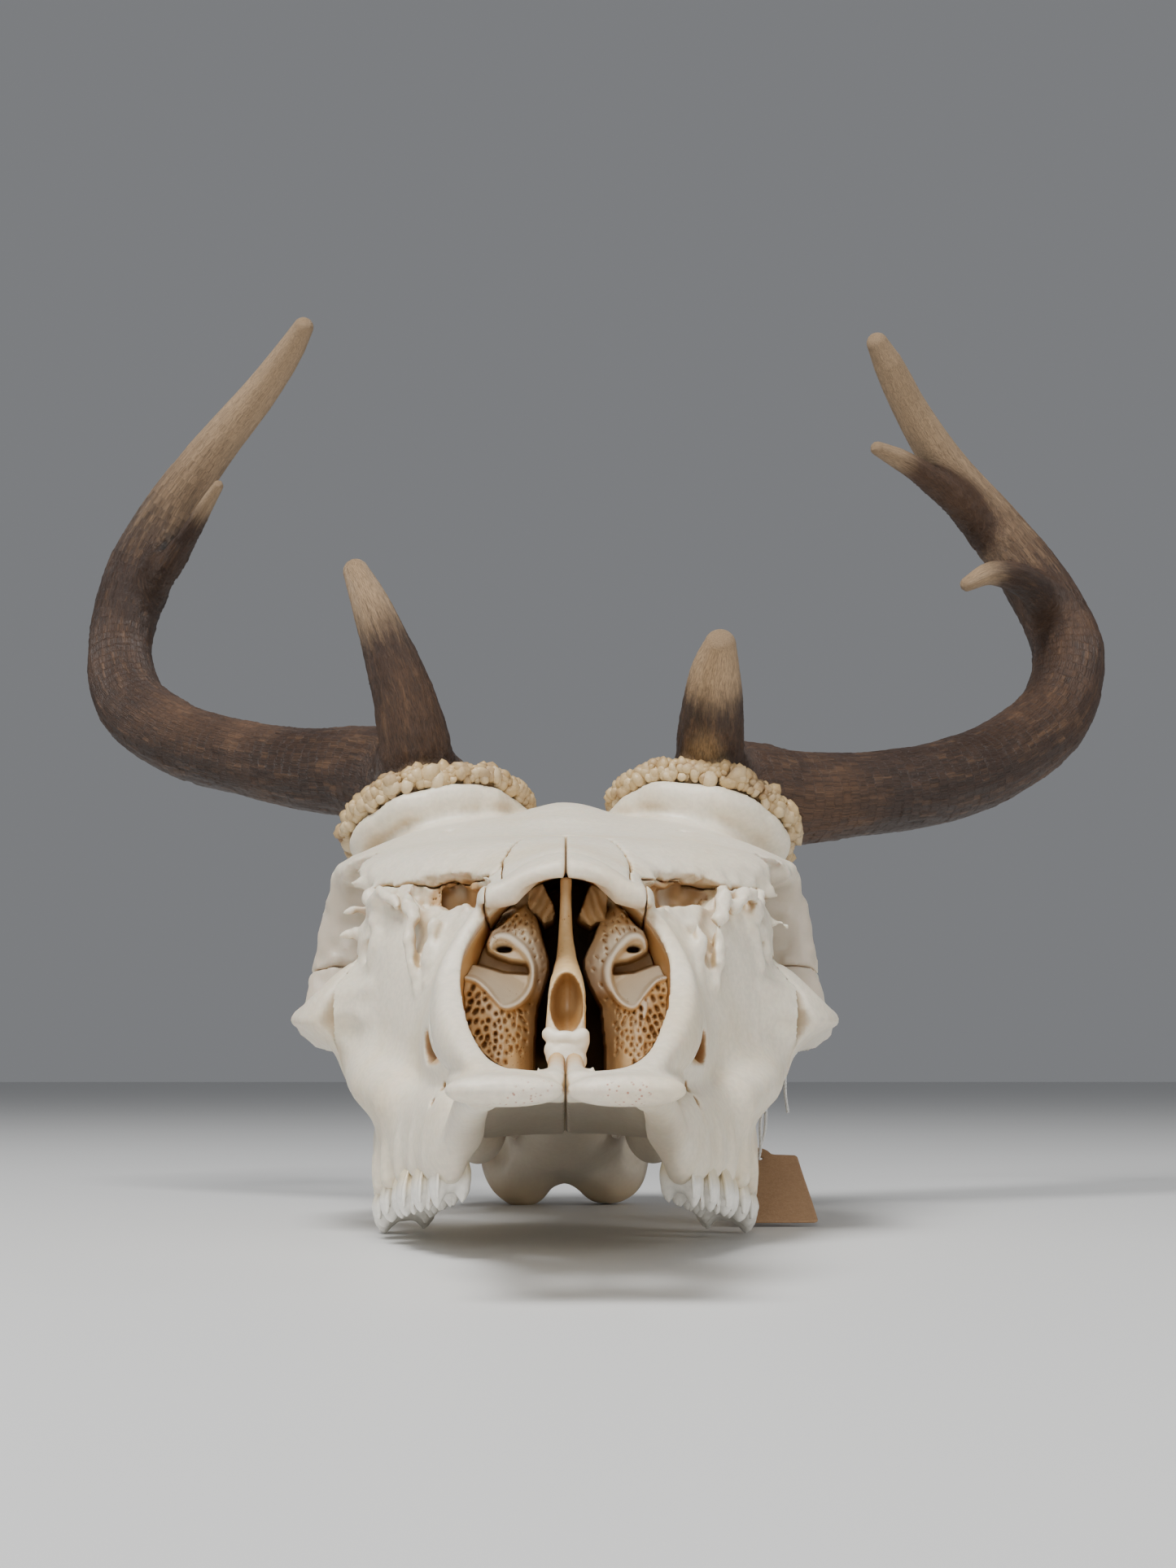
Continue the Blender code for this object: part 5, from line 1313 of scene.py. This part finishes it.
def roll_places(points, side):
    """Places in the front view, as on the right rolled bone."""
    u = side * points[:, 0]
    if side > 0:
        u = np.interp(u, *LEFT_SPREAD)
    return u[:, None], points[:, 2][:, None]


def front_clay(low, high, step, front_at):
    """Clay behind a front, which is given as a function of places in the front view."""
    clay = Clay(low, high, step)
    x, z = np.meshgrid(clay.axes[0], clay.axes[2], indexing="ij")
    front = front_at(np.stack([x.ravel(), np.zeros(x.size), z.ravel()], axis=1)).reshape(x.shape)
    for axis in (0, 1):
        front = 0.5 * front + 0.25 * (np.roll(front, 1, axis) + np.roll(front, -1, axis))
    slope = np.hypot(*np.gradient(front, clay.step))
    flat = 1 / np.sqrt(1 + np.minimum(slope, 4.0) ** 2)
    clay.field = ((front[:, None, :] - clay.axes[1][None, :, None]) * flat[:, None, :]).astype(np.float32)
    return clay


def trim_to_nose(clay, rear):
    """Keeps what lies inside the nose and in front of its rear."""
    inside = loft(NASAL_CAVITY)[2](*clay.grid())
    clay.field = smooth_max(clay.field, inside + 0.15, 0.2)
    clay.field = np.maximum(clay.field, clay.grid()[1] - rear)


def build_nose(look):
    """The rolled bones of each side of the nose, their upper flaps and the plate between them."""
    for name, side in SIDES:
        pores = scatter_pores(21 + side)

        def roll_masks(points, normals, space):
            masks = roll_front(*roll_places(points, side), pores)[1]
            masks = {mask: values[:, 0] for mask, values in masks.items()}
            # Painted shade: darker further back in the nose, near the middle.
            behind = ramp(68.0, 84.0, points[:, 1]) * ramp(13.0, 8.0, np.abs(points[:, 0]))
            masks["deep"] = np.maximum(masks["deep"], behind)
            if side > 0:
                masks["pale"] = np.maximum(masks["pale"], ramp(0.5, 0.1, bar_distance(points, BROKEN_BIT)))
            return {"hollow": 0.7 * hollow_mask(points, normals, space), **masks}

        def flap_masks(points, normals, space):
            # Painted shade: the flaps darken further back in the nose.
            deep = 0.42 + 0.58 * ramp(71.0, 84.0, points[:, 1])
            return {"hollow": 0.4 * hollow_mask(points, normals, space), "deep": deep}

        def roll_front_at(points):
            return roll_front(*roll_places(points, side), pores)[0]

        def flap_front_at(points):
            u, z = side * points[:, 0], points[:, 2]
            edge = -outline_distance(FLAP[name], u[:, None], z[:, None])[:, 0]
            front = 69.3 + 1.2 * np.clip(1 - edge, 0, 1) ** 2 + 0.5 * np.sin(2.1 * u + z)
            return np.where(edge > 0, front, BEYOND_NOSE)

        low, high = sorted((side * 1.2, side * 19.5))
        clay = front_clay((low, 58.9, 31), (high, TURBINATE_REAR, 68), ROLL_STEP, roll_front_at)
        if side > 0:
            clay.join(tube(BROKEN_BIT, 8), 0.2)
        trim_to_nose(clay, TURBINATE_REAR - 1.0)
        clay.field += 0.05 * grain_noise(*clay.grid(), 1.6, 5)
        solid_piece(f"ventral_turbinate_{name}", clay, clay.field, look, roll_masks, "thin_bone")

        low, high = sorted((side * 1.2, side * 9.0))
        clay = front_clay((low, 66, 57), (high, TURBINATE_REAR, 70), FLAP_STEP, flap_front_at)
        clay.field += 0.3 * grain_noise(*clay.grid(), 1.3, 6)
        trim_to_nose(clay, TURBINATE_REAR - 1.0)
        solid_piece(f"dorsal_turbinate_{name}", clay, clay.field, look, flap_masks, "thin_bone")
    clay = Clay((-5, 36, 29), (5, 134, 72), VOMER_STEP)
    clay.join(tube(SEPTUM, 28, True))
    clay.carve(ellipsoid(*VOMER_CHANNEL), 0.4)
    clay.join(tube(VOMER_BLOCK, 16), 0.5)
    clay.carve(tube(VOMER_CRACK, 8), 0.15)
    clay.field += 0.12 * grain_noise(*clay.grid(), 2.4, 7)
    trim_to_nose(clay, VOMER_REAR)
    solid_piece("vomer", clay, clay.field, look, vomer_masks, "thin_bone")


def vomer_masks(points, normals, space):
    """The plate is pale at its broken front. Painted shade makes it brown in its channel and darker to the
    rear; it is also darker higher up.
    """
    x, y, z = points.T
    pale = ramp(41.0, 39.6, z) * ramp(50.0, 44.0, y)
    edge = ramp(45.2, 43.4, y) * ramp(47.0, 44.5, z) * 0.5
    channel = ellipsoid(*VOMER_CHANNEL)[2](x, y, z)
    deep = np.maximum.reduce([
        ramp(46.0, 55.0, y) * 0.45, ramp(62.0, 76.0, y), 0.42 * ramp(48.5, 53.0, z),
        ramp(0.5, -0.1, channel) * 0.85,
    ])
    return {"hollow": hollow_mask(points, normals, space), "pale": np.maximum(pale, edge), "deep": deep}


def regrow(source, tree, look, values):
    """Gives an object the plain mesh that a geometry tree makes of it. Inputs are set by identifier."""
    modifier = source.modifiers.new("shape", "NODES")
    modifier.node_group = tree
    values = {"Material": look, **values}
    for item in tree.interface.items_tree:
        if item.item_type == "SOCKET" and item.in_out == "INPUT" and item.name in values:
            modifier[item.identifier] = values[item.name]
    bpy.context.view_layer.update()
    graph = bpy.context.evaluated_depsgraph_get()
    source.data = bpy.data.meshes.new_from_object(source.evaluated_get(graph))
    source.modifiers.remove(modifier)
    source.data.materials.clear()
    source.data.materials.append(look)
    return source.data


def ridge_tree():
    """Pushes a surface in and out in long ridges that follow its grain, where it isn't smooth."""
    tree, given, result = shape_tree(
        "lengthwise ridges", ("Ridge Height", "Float", 0.0005), ("Ridges Around", "Float", 5.0),
        ("Seed", "Float", 1.0),
    )
    ridges = made_by(tree, "ShaderNodeTexNoise", {
        "Vector": named(tree, "grain", "FLOAT_VECTOR"), "W": given["Seed"], "Scale": given["Ridges Around"],
        "Detail": 4.0, "Roughness": 0.62,
    }, noise_dimensions="4D")
    height = maths(tree, "MULTIPLY", maths(tree, "SUBTRACT", ridges, 0.5), given["Ridge Height"])
    height = maths(tree, "MULTIPLY", height, maths(tree, "SUBTRACT", 1.0, named(tree, "smooth", "FLOAT")))
    push = scaled(tree, made_by(tree, "GeometryNodeInputNormal"), height)
    return end_shape_tree(tree, given, result, moved(tree, given["Geometry"], push))


def bead_tree():
    """Sets small uneven beads on the points of a mesh, each as large as its bead size attribute."""
    tree, given, result = shape_tree(
        "bead ring", ("Bead Radius", "Float", 0.0014), ("Unevenness", "Float", 0.3), ("Seed", "Int", 3),
    )
    bead = made_by(tree, "GeometryNodeMeshIcoSphere", {"Radius": 1.0, "Subdivisions": 2})
    position = made_by(tree, "GeometryNodeInputPosition")
    lump = maths(tree, "MULTIPLY", noise(tree, position, 1.3, 1.0), given["Unevenness"])
    bead = moved(tree, bead, scaled(tree, position, lump))
    bead = made_by(tree, "GeometryNodeSetShadeSmooth", {"Geometry": bead})
    size = maths(tree, "MULTIPLY", named(tree, "bead size", "FLOAT"), given["Bead Radius"])
    stretch, turn = (
        made_by(tree, "FunctionNodeRandomValue", {0: low, 1: high, "Seed": given["Seed"]},
                data_type="FLOAT_VECTOR")
        for low, high in (((0.8, 0.8, 0.8), (1.7, 1.3, 1.2)), ((0.0, 0.0, 0.0), (6.28, 6.28, 6.28)))
    )
    placed = made_by(tree, "GeometryNodeInstanceOnPoints", {
        "Points": given["Geometry"], "Instance": bead, "Rotation": turn, "Scale": scaled(tree, stretch, size),
    })
    return end_shape_tree(tree, given, result, placed)


def frames_along(line):
    """Directions along a line, with two more across it that don't twist."""
    tangents = np.gradient(line, axis=0)
    tangents /= np.linalg.norm(tangents, axis=1)[:, None]
    across = np.cross(tangents[0], (0.31, 0.17, 0.93))
    firsts = []
    for tangent in tangents:
        across = across - tangent * (across @ tangent)
        across /= np.linalg.norm(across)
        firsts.append(across)
    firsts = np.array(firsts)
    return tangents, firsts, np.cross(tangents, firsts)


def antler_grain(points, lines):
    """Where each point lies round and along its bar, as a direction that is stretched along it."""
    total, weight = np.zeros((len(points), 3)), np.zeros(len(points))
    tip = np.zeros(len(points))
    for number, line in enumerate(lines):
        path = path_through(line, 90)
        _, first, second = frames_along(path[:, :3])
        gaps = ((points[:, None] - path[None, :, :3]) ** 2).sum(axis=2)
        k = gaps.argmin(axis=1)
        offset = points - path[k, :3]
        reach = np.maximum(np.sqrt(gaps[np.arange(len(points)), k]), 1e-3)
        cos, sin = (offset * first[k]).sum(axis=1) / reach, (offset * second[k]).sum(axis=1) / reach
        length = np.linalg.norm(np.diff(path[:, :3], axis=0), axis=1).sum()
        share = k / (len(path) - 1)
        grain = np.stack([cos, sin, share * length / 45.0 + number * 3.0], axis=1)
        w = np.exp(-np.clip(reach - path[k, 3], 0, 20) / 1.2)
        total += grain * w[:, None]
        weight += w
        tip += w * share
    return total / weight[:, None], tip / weight


def burr_ring(name, side, radius, level, count, seed):
    """Places round the rim of a burr, with an uneven reach."""
    generator = np.random.default_rng(seed)
    axis, across, other = burr_frame(side)
    angle = np.arange(count) * 2 * math.pi / count + generator.uniform(-0.4, 0.4, count) * 2 * math.pi / count
    wave = 0.9 * np.sin(angle * 3 + side) + 0.5 * np.sin(angle * 7 + 2.0 * side)
    reach = radius + wave + generator.uniform(-0.5, 0.5, count)
    centre = np.array(BURR_CENTRE[name]) + axis * level
    lift = generator.uniform(-0.6, 0.6, count)[:, None] * axis
    return centre + lift + reach[:, None] * (np.cos(angle)[:, None] * across + np.sin(angle)[:, None] * other)


def build_antler(name, side, look, bead_look, ridges, beads):
    """One antler with its burr, modelled whole, and the beads round the burr."""
    lines = [BEAM[name], *TINES[name].values()]
    rows = np.array([row for line in lines for row in line])
    centre, axis = np.array(BURR_CENTRE[name]), burr_frame(side)[0]
    low = np.minimum((rows[:, :3] - rows[:, 3:]).min(axis=0), centre - 26) - 2
    high = np.maximum((rows[:, :3] + rows[:, 3:]).max(axis=0), centre + 26) + 2
    clay = Clay(low, high, ANTLER_STEP)
    clay.join(tube(BEAM[name], 40))
    for line in TINES[name].values():
        clay.join(tube(line, 22), 3.5)
    clay.join(tube(closed_ring(burr_ring(name, side, BURR_RADIUS - 1.6, 0.0, 40, 7 + side), 2.1), 60), 2.0)
    clay.join(tube(closed_ring(burr_ring(name, side, BURR_RADIUS - 7.0, 0.4, 24, 9), 4.2), 48), 4.0)
    x, y, z = clay.grid()
    level = (x - centre[0]) * axis[0] + (y - centre[1]) * axis[1] + (z - centre[2]) * axis[2]
    under = -level - BURR_THICK + 0.4
    near = np.sqrt((x - centre[0]) ** 2 + (y - centre[1]) ** 2 + (z - centre[2]) ** 2) - 30.0
    clay.field = np.where(near < 0, smooth_max(clay.field, under, 1.0), clay.field)
    points, faces = largest_piece(*skin(clay.field, clay.low, clay.step))
    mesh = mesh_from(f"antler_{name}", points, faces)
    grain, tip = antler_grain(points, lines)
    store(mesh, "grain", "FLOAT_VECTOR", grain.astype(np.float32))
    below = (points - centre) @ axis
    out = np.linalg.norm((points - centre) - below[:, None] * axis, axis=1)
    add_masks(mesh, points, clay, lambda points, normals, space: {
        "tip": ramp(0.45, 1.0, tip),
        "smooth": ramp(0.55, 0.98, tip),
        "rim": ramp(15.0, 19.0, out) * ramp(7.0, 3.0, np.abs(below)),
        "hollow": hollow_mask(points, normals, space),
    })
    source = piece_from(f"antler_{name}", mesh, look)
    made = regrow(source, ridges, look, {
        "Ridge Height": RIDGE_HEIGHT, "Ridges Around": RIDGES_AROUND, "Seed": 2.0 + side,
    })
    made.shade_smooth()
    nodes = [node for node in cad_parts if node.startswith(f"antler_{name}_")]
    finish_piece(source, "antler", *nodes)
    add_beads(name, side, bead_look, beads)


def add_beads(name, side, look, beads):
    """The beaded rim of a burr."""
    generator = np.random.default_rng(31 + side)
    places = np.vstack([
        burr_ring(name, side, BURR_RADIUS + out, level, count, 40 + count) for out, level, count in BEAD_ROWS
    ])
    mesh = bpy.data.meshes.new(f"burr_{name}")
    mesh.from_pydata(((places - SHIFT) * MM).tolist(), [], [])
    store(mesh, "bead size", "FLOAT", generator.uniform(0.6, 1.35, len(places)).astype(np.float32))
    level = (places - np.array(BURR_CENTRE[name])) @ burr_frame(side)[0]
    add_mask(mesh, "cream", 0.7 * ramp(1.5, -2.0, level) * generator.uniform(0.0, 1.0, len(places)))
    source = piece_from(f"burr_beads_{name}", mesh, look)
    regrow(source, beads, look, {"Bead Radius": BEAD_RADIUS, "Unevenness": BEAD_UNEVENNESS, "Seed": 5})
    finish_piece(source, "antler")


def tooth_shape(name, lobes):
    """A cheek tooth with its chewing edge at z = 0 and its roots above, for each lobe 7 mm along y."""
    clay = Clay((-9, -9, -1), (9, 9, 18), TOOTH_STEP)
    for y in (-3.5, 3.5) if lobes == 2 else (0.0,):
        outer = ((4.5, y, 0.3, 0.5), (4.7, y, 2.2, 1.9), (4.3, y, 5.0, 2.6), (3.2, y, 8.5, 2.0))
        inner = ((-3.6, y, 1.4, 0.7), (-3.8, y, 3.6, 2.2), (-3.4, y, 6.5, 2.8), (-2.2, y, 10, 2.2))
        clay.join(tube((*outer, (2.6, y * 0.9, 16, 1.6)), 14), 0.8)
        clay.join(tube((*inner, (-1.6, y * 0.9, 16, 1.8)), 14), 1.0)
        clay.join(tube(((3.6, y, 4.5, 2.6), (-3.0, y, 5.5, 2.6)), 4), 1.6)
        for edge in (-3.2, 3.2):
            rib = ((5.7, y + edge, 1.6, 0.4), (5.6, y + edge, 5, 0.6), (4.4, y + edge * 0.8, 8.5, 0.4))
            clay.join(tube(rib, 8), 0.7)
        clay.carve(tube(((0.6, y - 1.6, 1.0, 0.8), (1.2, y, 1.2, 1.0), (0.6, y + 1.6, 1.0, 0.8)), 8), 0.6)
    clay.field += 0.12 * grain_noise(*clay.grid(), 2.0, lobes)
    points, faces = largest_piece(*skin(clay.field, clay.low, clay.step))
    points = points - [0, 0, points[:, 2].min()]
    mesh = mesh_from(name, points + SHIFT, faces)
    add_masks(mesh, points, clay, lambda points, normals, space: {
        "hollow": hollow_mask(points, normals, space), "root": ramp(3.5, 8.0, points[:, 2]),
    })
    return bpy.data.objects.new(name, mesh)


def tooth_row_tree():
    """Sets one of two tooth shapes on each point of a row, turned and sized by the row's attributes."""
    tree, given, result = shape_tree(
        "tooth row", ("Premolar", "Object", None), ("Molar", "Object", None), ("Crown Size", "Float", 1.0),
    )
    shapes = add_node(tree, "GeometryNodeGeometryToInstance")
    for label in ("Molar", "Premolar"):
        shape = add_node(tree, "GeometryNodeObjectInfo", {"Object": given[label]})
        tree.links.new(shape.outputs["Geometry"], shapes.inputs[0])
    placed = made_by(tree, "GeometryNodeInstanceOnPoints", {
        "Points": given["Geometry"], "Instance": shapes.outputs[0], "Pick Instance": True,
        "Instance Index": named(tree, "kind", "INT"), "Rotation": named(tree, "turn", "FLOAT_VECTOR"),
        "Scale": scaled(tree, named(tree, "size", "FLOAT_VECTOR"), given["Crown Size"]),
    })
    return end_shape_tree(tree, given, result, placed)


def build_teeth(look):
    """Six cheek teeth of each side, in a row that bows outwards and drops to the rear."""
    molar, premolar = tooth_shape("molar", 2), tooth_shape("premolar", 1)
    tree = tooth_row_tree()
    heading = -math.atan2(ROW_END[0] - ROW_START[0], ROW_END[1] - ROW_START[1])
    for name, side in SIDES:
        places, kinds, turns, sizes = [], [], [], []
        for number, (x, y, edge, length, width) in enumerate(tooth_places()):
            is_molar = number >= PREMOLARS
            places.append((side * x, y, edge))
            kinds.append(0 if is_molar else 1)
            shape_length = MOLAR_LENGTH if is_molar else PREMOLAR_LENGTH
            sizes.append((side * width / CROWN_WIDTH, length / shape_length, 1.0))
            turns.append((-TOOTH_LEAN, 0.0, side * heading * (1.24 - 0.16 * number)))
        mesh = bpy.data.meshes.new(f"cheek_teeth_{name}")
        mesh.from_pydata(((np.array(places) - SHIFT) * MM).tolist(), [], [])
        store(mesh, "kind", "INT", kinds)
        store(mesh, "turn", "FLOAT_VECTOR", turns)
        store(mesh, "size", "FLOAT_VECTOR", sizes)
        row = piece_from(f"cheek_teeth_{name}", mesh, look)
        made = regrow(row, tree, look, {"Premolar": premolar, "Molar": molar, "Crown Size": 1.0})
        if side < 0:
            made.flip_normals()
        made.shade_smooth()
        finish_piece(row, "bone")
    for shape in (molar, premolar):
        bpy.data.objects.remove(shape)


def tag_frame():
    """The tag's foot, and its directions across, up along the paper and out of it."""
    across = np.array((math.cos(TAG_TURN), math.sin(TAG_TURN), 0.0))
    back = np.array((-math.sin(TAG_TURN), math.cos(TAG_TURN), 0.0))
    up = back * math.cos(TAG_LEAN) + np.array((0, 0, math.sin(TAG_LEAN)))
    return np.array(TAG_FOOT), across, up, np.cross(across, up)


def build_tag(look):
    """The paper tag: rounded corners, a round tab with a hole, and a slight bow."""
    half, tall = TAG_WIDTH / 2, TAG_LENGTH
    clay = Clay((-half - 1, -1, -1.2), (half + 1, tall + 3, 1.4), TAG_STEP)
    x, y, z = clay.grid()
    past_side = np.abs(x) - half + TAG_CORNER
    past_end = np.abs(y - tall / 2 + TAG_TAB_RISE) - tall / 2 + TAG_TAB_RISE + TAG_CORNER
    body = np.hypot(np.maximum(past_side, 0), np.maximum(past_end, 0)) - TAG_CORNER
    tab = np.hypot(x, y - tall + TAB_BACK) - TAB_RADIUS
    hole = np.hypot(x, y - tall + HOLE_BACK) - HOLE_RADIUS
    flat = np.maximum(smooth_min(body, tab, 0.8), -hole)
    clay.field = smooth_max(flat + 0 * z, np.abs(z) - TAG_THICK / 2, 0.15).astype(np.float32)
    points, faces = largest_piece(*skin(clay.field, clay.low, clay.step))
    foot, across, up, out = tag_frame()
    u, v, t = points.T
    bow = 0.25 * (1 - (u / half) ** 2) + 0.12 * np.sin(v / 5.0)
    raised = t + TAG_THICK / 2 + bow * ramp(0, 5, v)
    places = foot + u[:, None] * across + v[:, None] * up + raised[:, None] * out
    tag = piece_from("paper_tag", mesh_from("paper_tag", places, faces), look)
    finish_piece(tag, "kraft_paper", "tag")
    return foot + up * (tall - HOLE_BACK) + out * TAG_THICK / 2, out, tag


def string_tree():
    """Twists thin strands round a line: the strands are copies of it, moved off it in a turning circle."""
    tree, given, result = shape_tree(
        "twisted string", ("Strands", "Int", 3), ("Strand Radius", "Float", 0.0002),
        ("Lay Radius", "Float", 0.0002), ("Turn Length", "Float", 0.003),
    )
    line = made_by(tree, "GeometryNodeMeshToCurve", {"Mesh": given["Geometry"]})
    fine = made_by(tree, "GeometryNodeResampleCurve", {"Curve": line, "Length": 0.0004}, mode="LENGTH")
    amount = {"Geometry": fine, "Amount": given["Strands"]}
    copies = add_node(tree, "GeometryNodeDuplicateElements", amount, domain="SPLINE").outputs
    along = add_node(tree, "GeometryNodeSplineParameter").outputs["Length"]
    share = maths(tree, "DIVIDE", along, given["Turn Length"])
    share = maths(tree, "ADD", share, maths(tree, "DIVIDE", copies["Duplicate Index"], given["Strands"]))
    arm = made_by(tree, "ShaderNodeVectorRotate", {
        "Vector": made_by(tree, "GeometryNodeInputNormal"), "Axis": made_by(tree, "GeometryNodeInputTangent"),
        "Angle": maths(tree, "MULTIPLY", share, 2 * math.pi),
    }, rotation_type="AXIS_ANGLE")
    twisted = moved(tree, copies[0], scaled(tree, arm, given["Lay Radius"]))
    ring = {"Resolution": 7, "Radius": given["Strand Radius"]}
    ring = made_by(tree, "GeometryNodeCurvePrimitiveCircle", ring)
    strands = {"Curve": twisted, "Profile Curve": ring, "Fill Caps": True}
    strands = made_by(tree, "GeometryNodeCurveToMesh", strands)
    strands = made_by(tree, "GeometryNodeSetShadeSmooth", {"Geometry": strands})
    return end_shape_tree(tree, given, result, strands)


def build_string(look, hole, out):
    """The string that is tied round the left arch and runs through the tag's hole."""
    at_hole = (
        hole + out * 4.5 + (0.6, 4.0, 3.5), hole + out * 1.2 + (0.25, 0, 0), hole,
        hole - out * 1.4 + (-0.3, 0.8, 0.4),
    )
    line = (path_through((*STRING_DOWN, *at_hole, *STRING_UP), 160) - SHIFT) * MM
    mesh = bpy.data.meshes.new("string line")
    mesh.from_pydata(line.tolist(), [(k, k + 1) for k in range(len(line) - 1)], [])
    string = piece_from("tag_string_twist", mesh, look)
    regrow(string, string_tree(), look, {
        "Strands": STRANDS, "Strand Radius": STRAND_RADIUS, "Lay Radius": LAY_RADIUS,
        "Turn Length": TURN_LENGTH,
    })
    finish_piece(string, "string", "tag_string")


def place_camera():
    """The photograph's viewing angle: near the floor, a little up and close to the nose."""
    camera = bpy.data.cameras.new("camera")
    camera.lens = LENS
    camera.sensor_width = 36.0
    holder = bpy.data.objects.new("camera", camera)
    bpy.context.scene.collection.objects.link(holder)
    holder.location = Vector((CAMERA_PLACE - SHIFT) * MM)
    holder.rotation_euler = (math.pi / 2 + CAMERA_PITCH, 0.0, -CAMERA_YAW)
    bpy.context.scene.camera = holder


def place_floor_and_lights():
    floor = bpy.data.meshes.new("floor")
    floor.from_pydata([(-6, -6, 0), (6, -6, 0), (6, 6, 0), (-6, 6, 0)], [], [(0, 1, 2, 3)])
    piece_from("floor", floor, floor_material())
    world = bpy.data.worlds.new("studio")
    world.use_nodes = True
    feed(world.node_tree, world.node_tree.nodes["Background"].inputs, {
        "Color": (0.78, 0.80, 0.84, 1), "Strength": 0.26,
    })
    bpy.context.scene.world = world
    for name, place, size, power in LIGHTS:
        light = bpy.data.lights.new(name, "AREA")
        light.size, light.energy = size, power
        holder = bpy.data.objects.new(name, light)
        bpy.context.scene.collection.objects.link(holder)
        holder.location = place
        aim = Vector((0, -0.05, 0.06)) - Vector(place)
        holder.rotation_euler = aim.to_track_quat("-Z", "Y").to_euler()


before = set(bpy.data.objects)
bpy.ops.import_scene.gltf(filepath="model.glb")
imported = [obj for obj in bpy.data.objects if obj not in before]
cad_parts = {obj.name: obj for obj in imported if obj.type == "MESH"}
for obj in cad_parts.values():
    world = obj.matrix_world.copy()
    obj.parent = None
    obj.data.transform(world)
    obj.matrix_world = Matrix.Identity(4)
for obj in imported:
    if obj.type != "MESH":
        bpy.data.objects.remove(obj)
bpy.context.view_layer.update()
place_camera()
place_floor_and_lights()
weathering, pores = weathering_group(), pores_group()
build_skull(bone_material(weathering, pores))
build_nose(thin_bone_material(weathering, pores))
build_teeth(enamel_material(weathering))
antler_look, bead_look = antler_material(weathering), bead_material(weathering)
ridges, beads = ridge_tree(), bead_tree()
for antler_name, antler_side in SIDES:
    build_antler(antler_name, antler_side, antler_look, bead_look, ridges, beads)
hole, out, tag = build_tag(paper_material(weathering))
build_string(string_material(weathering), hole, out)
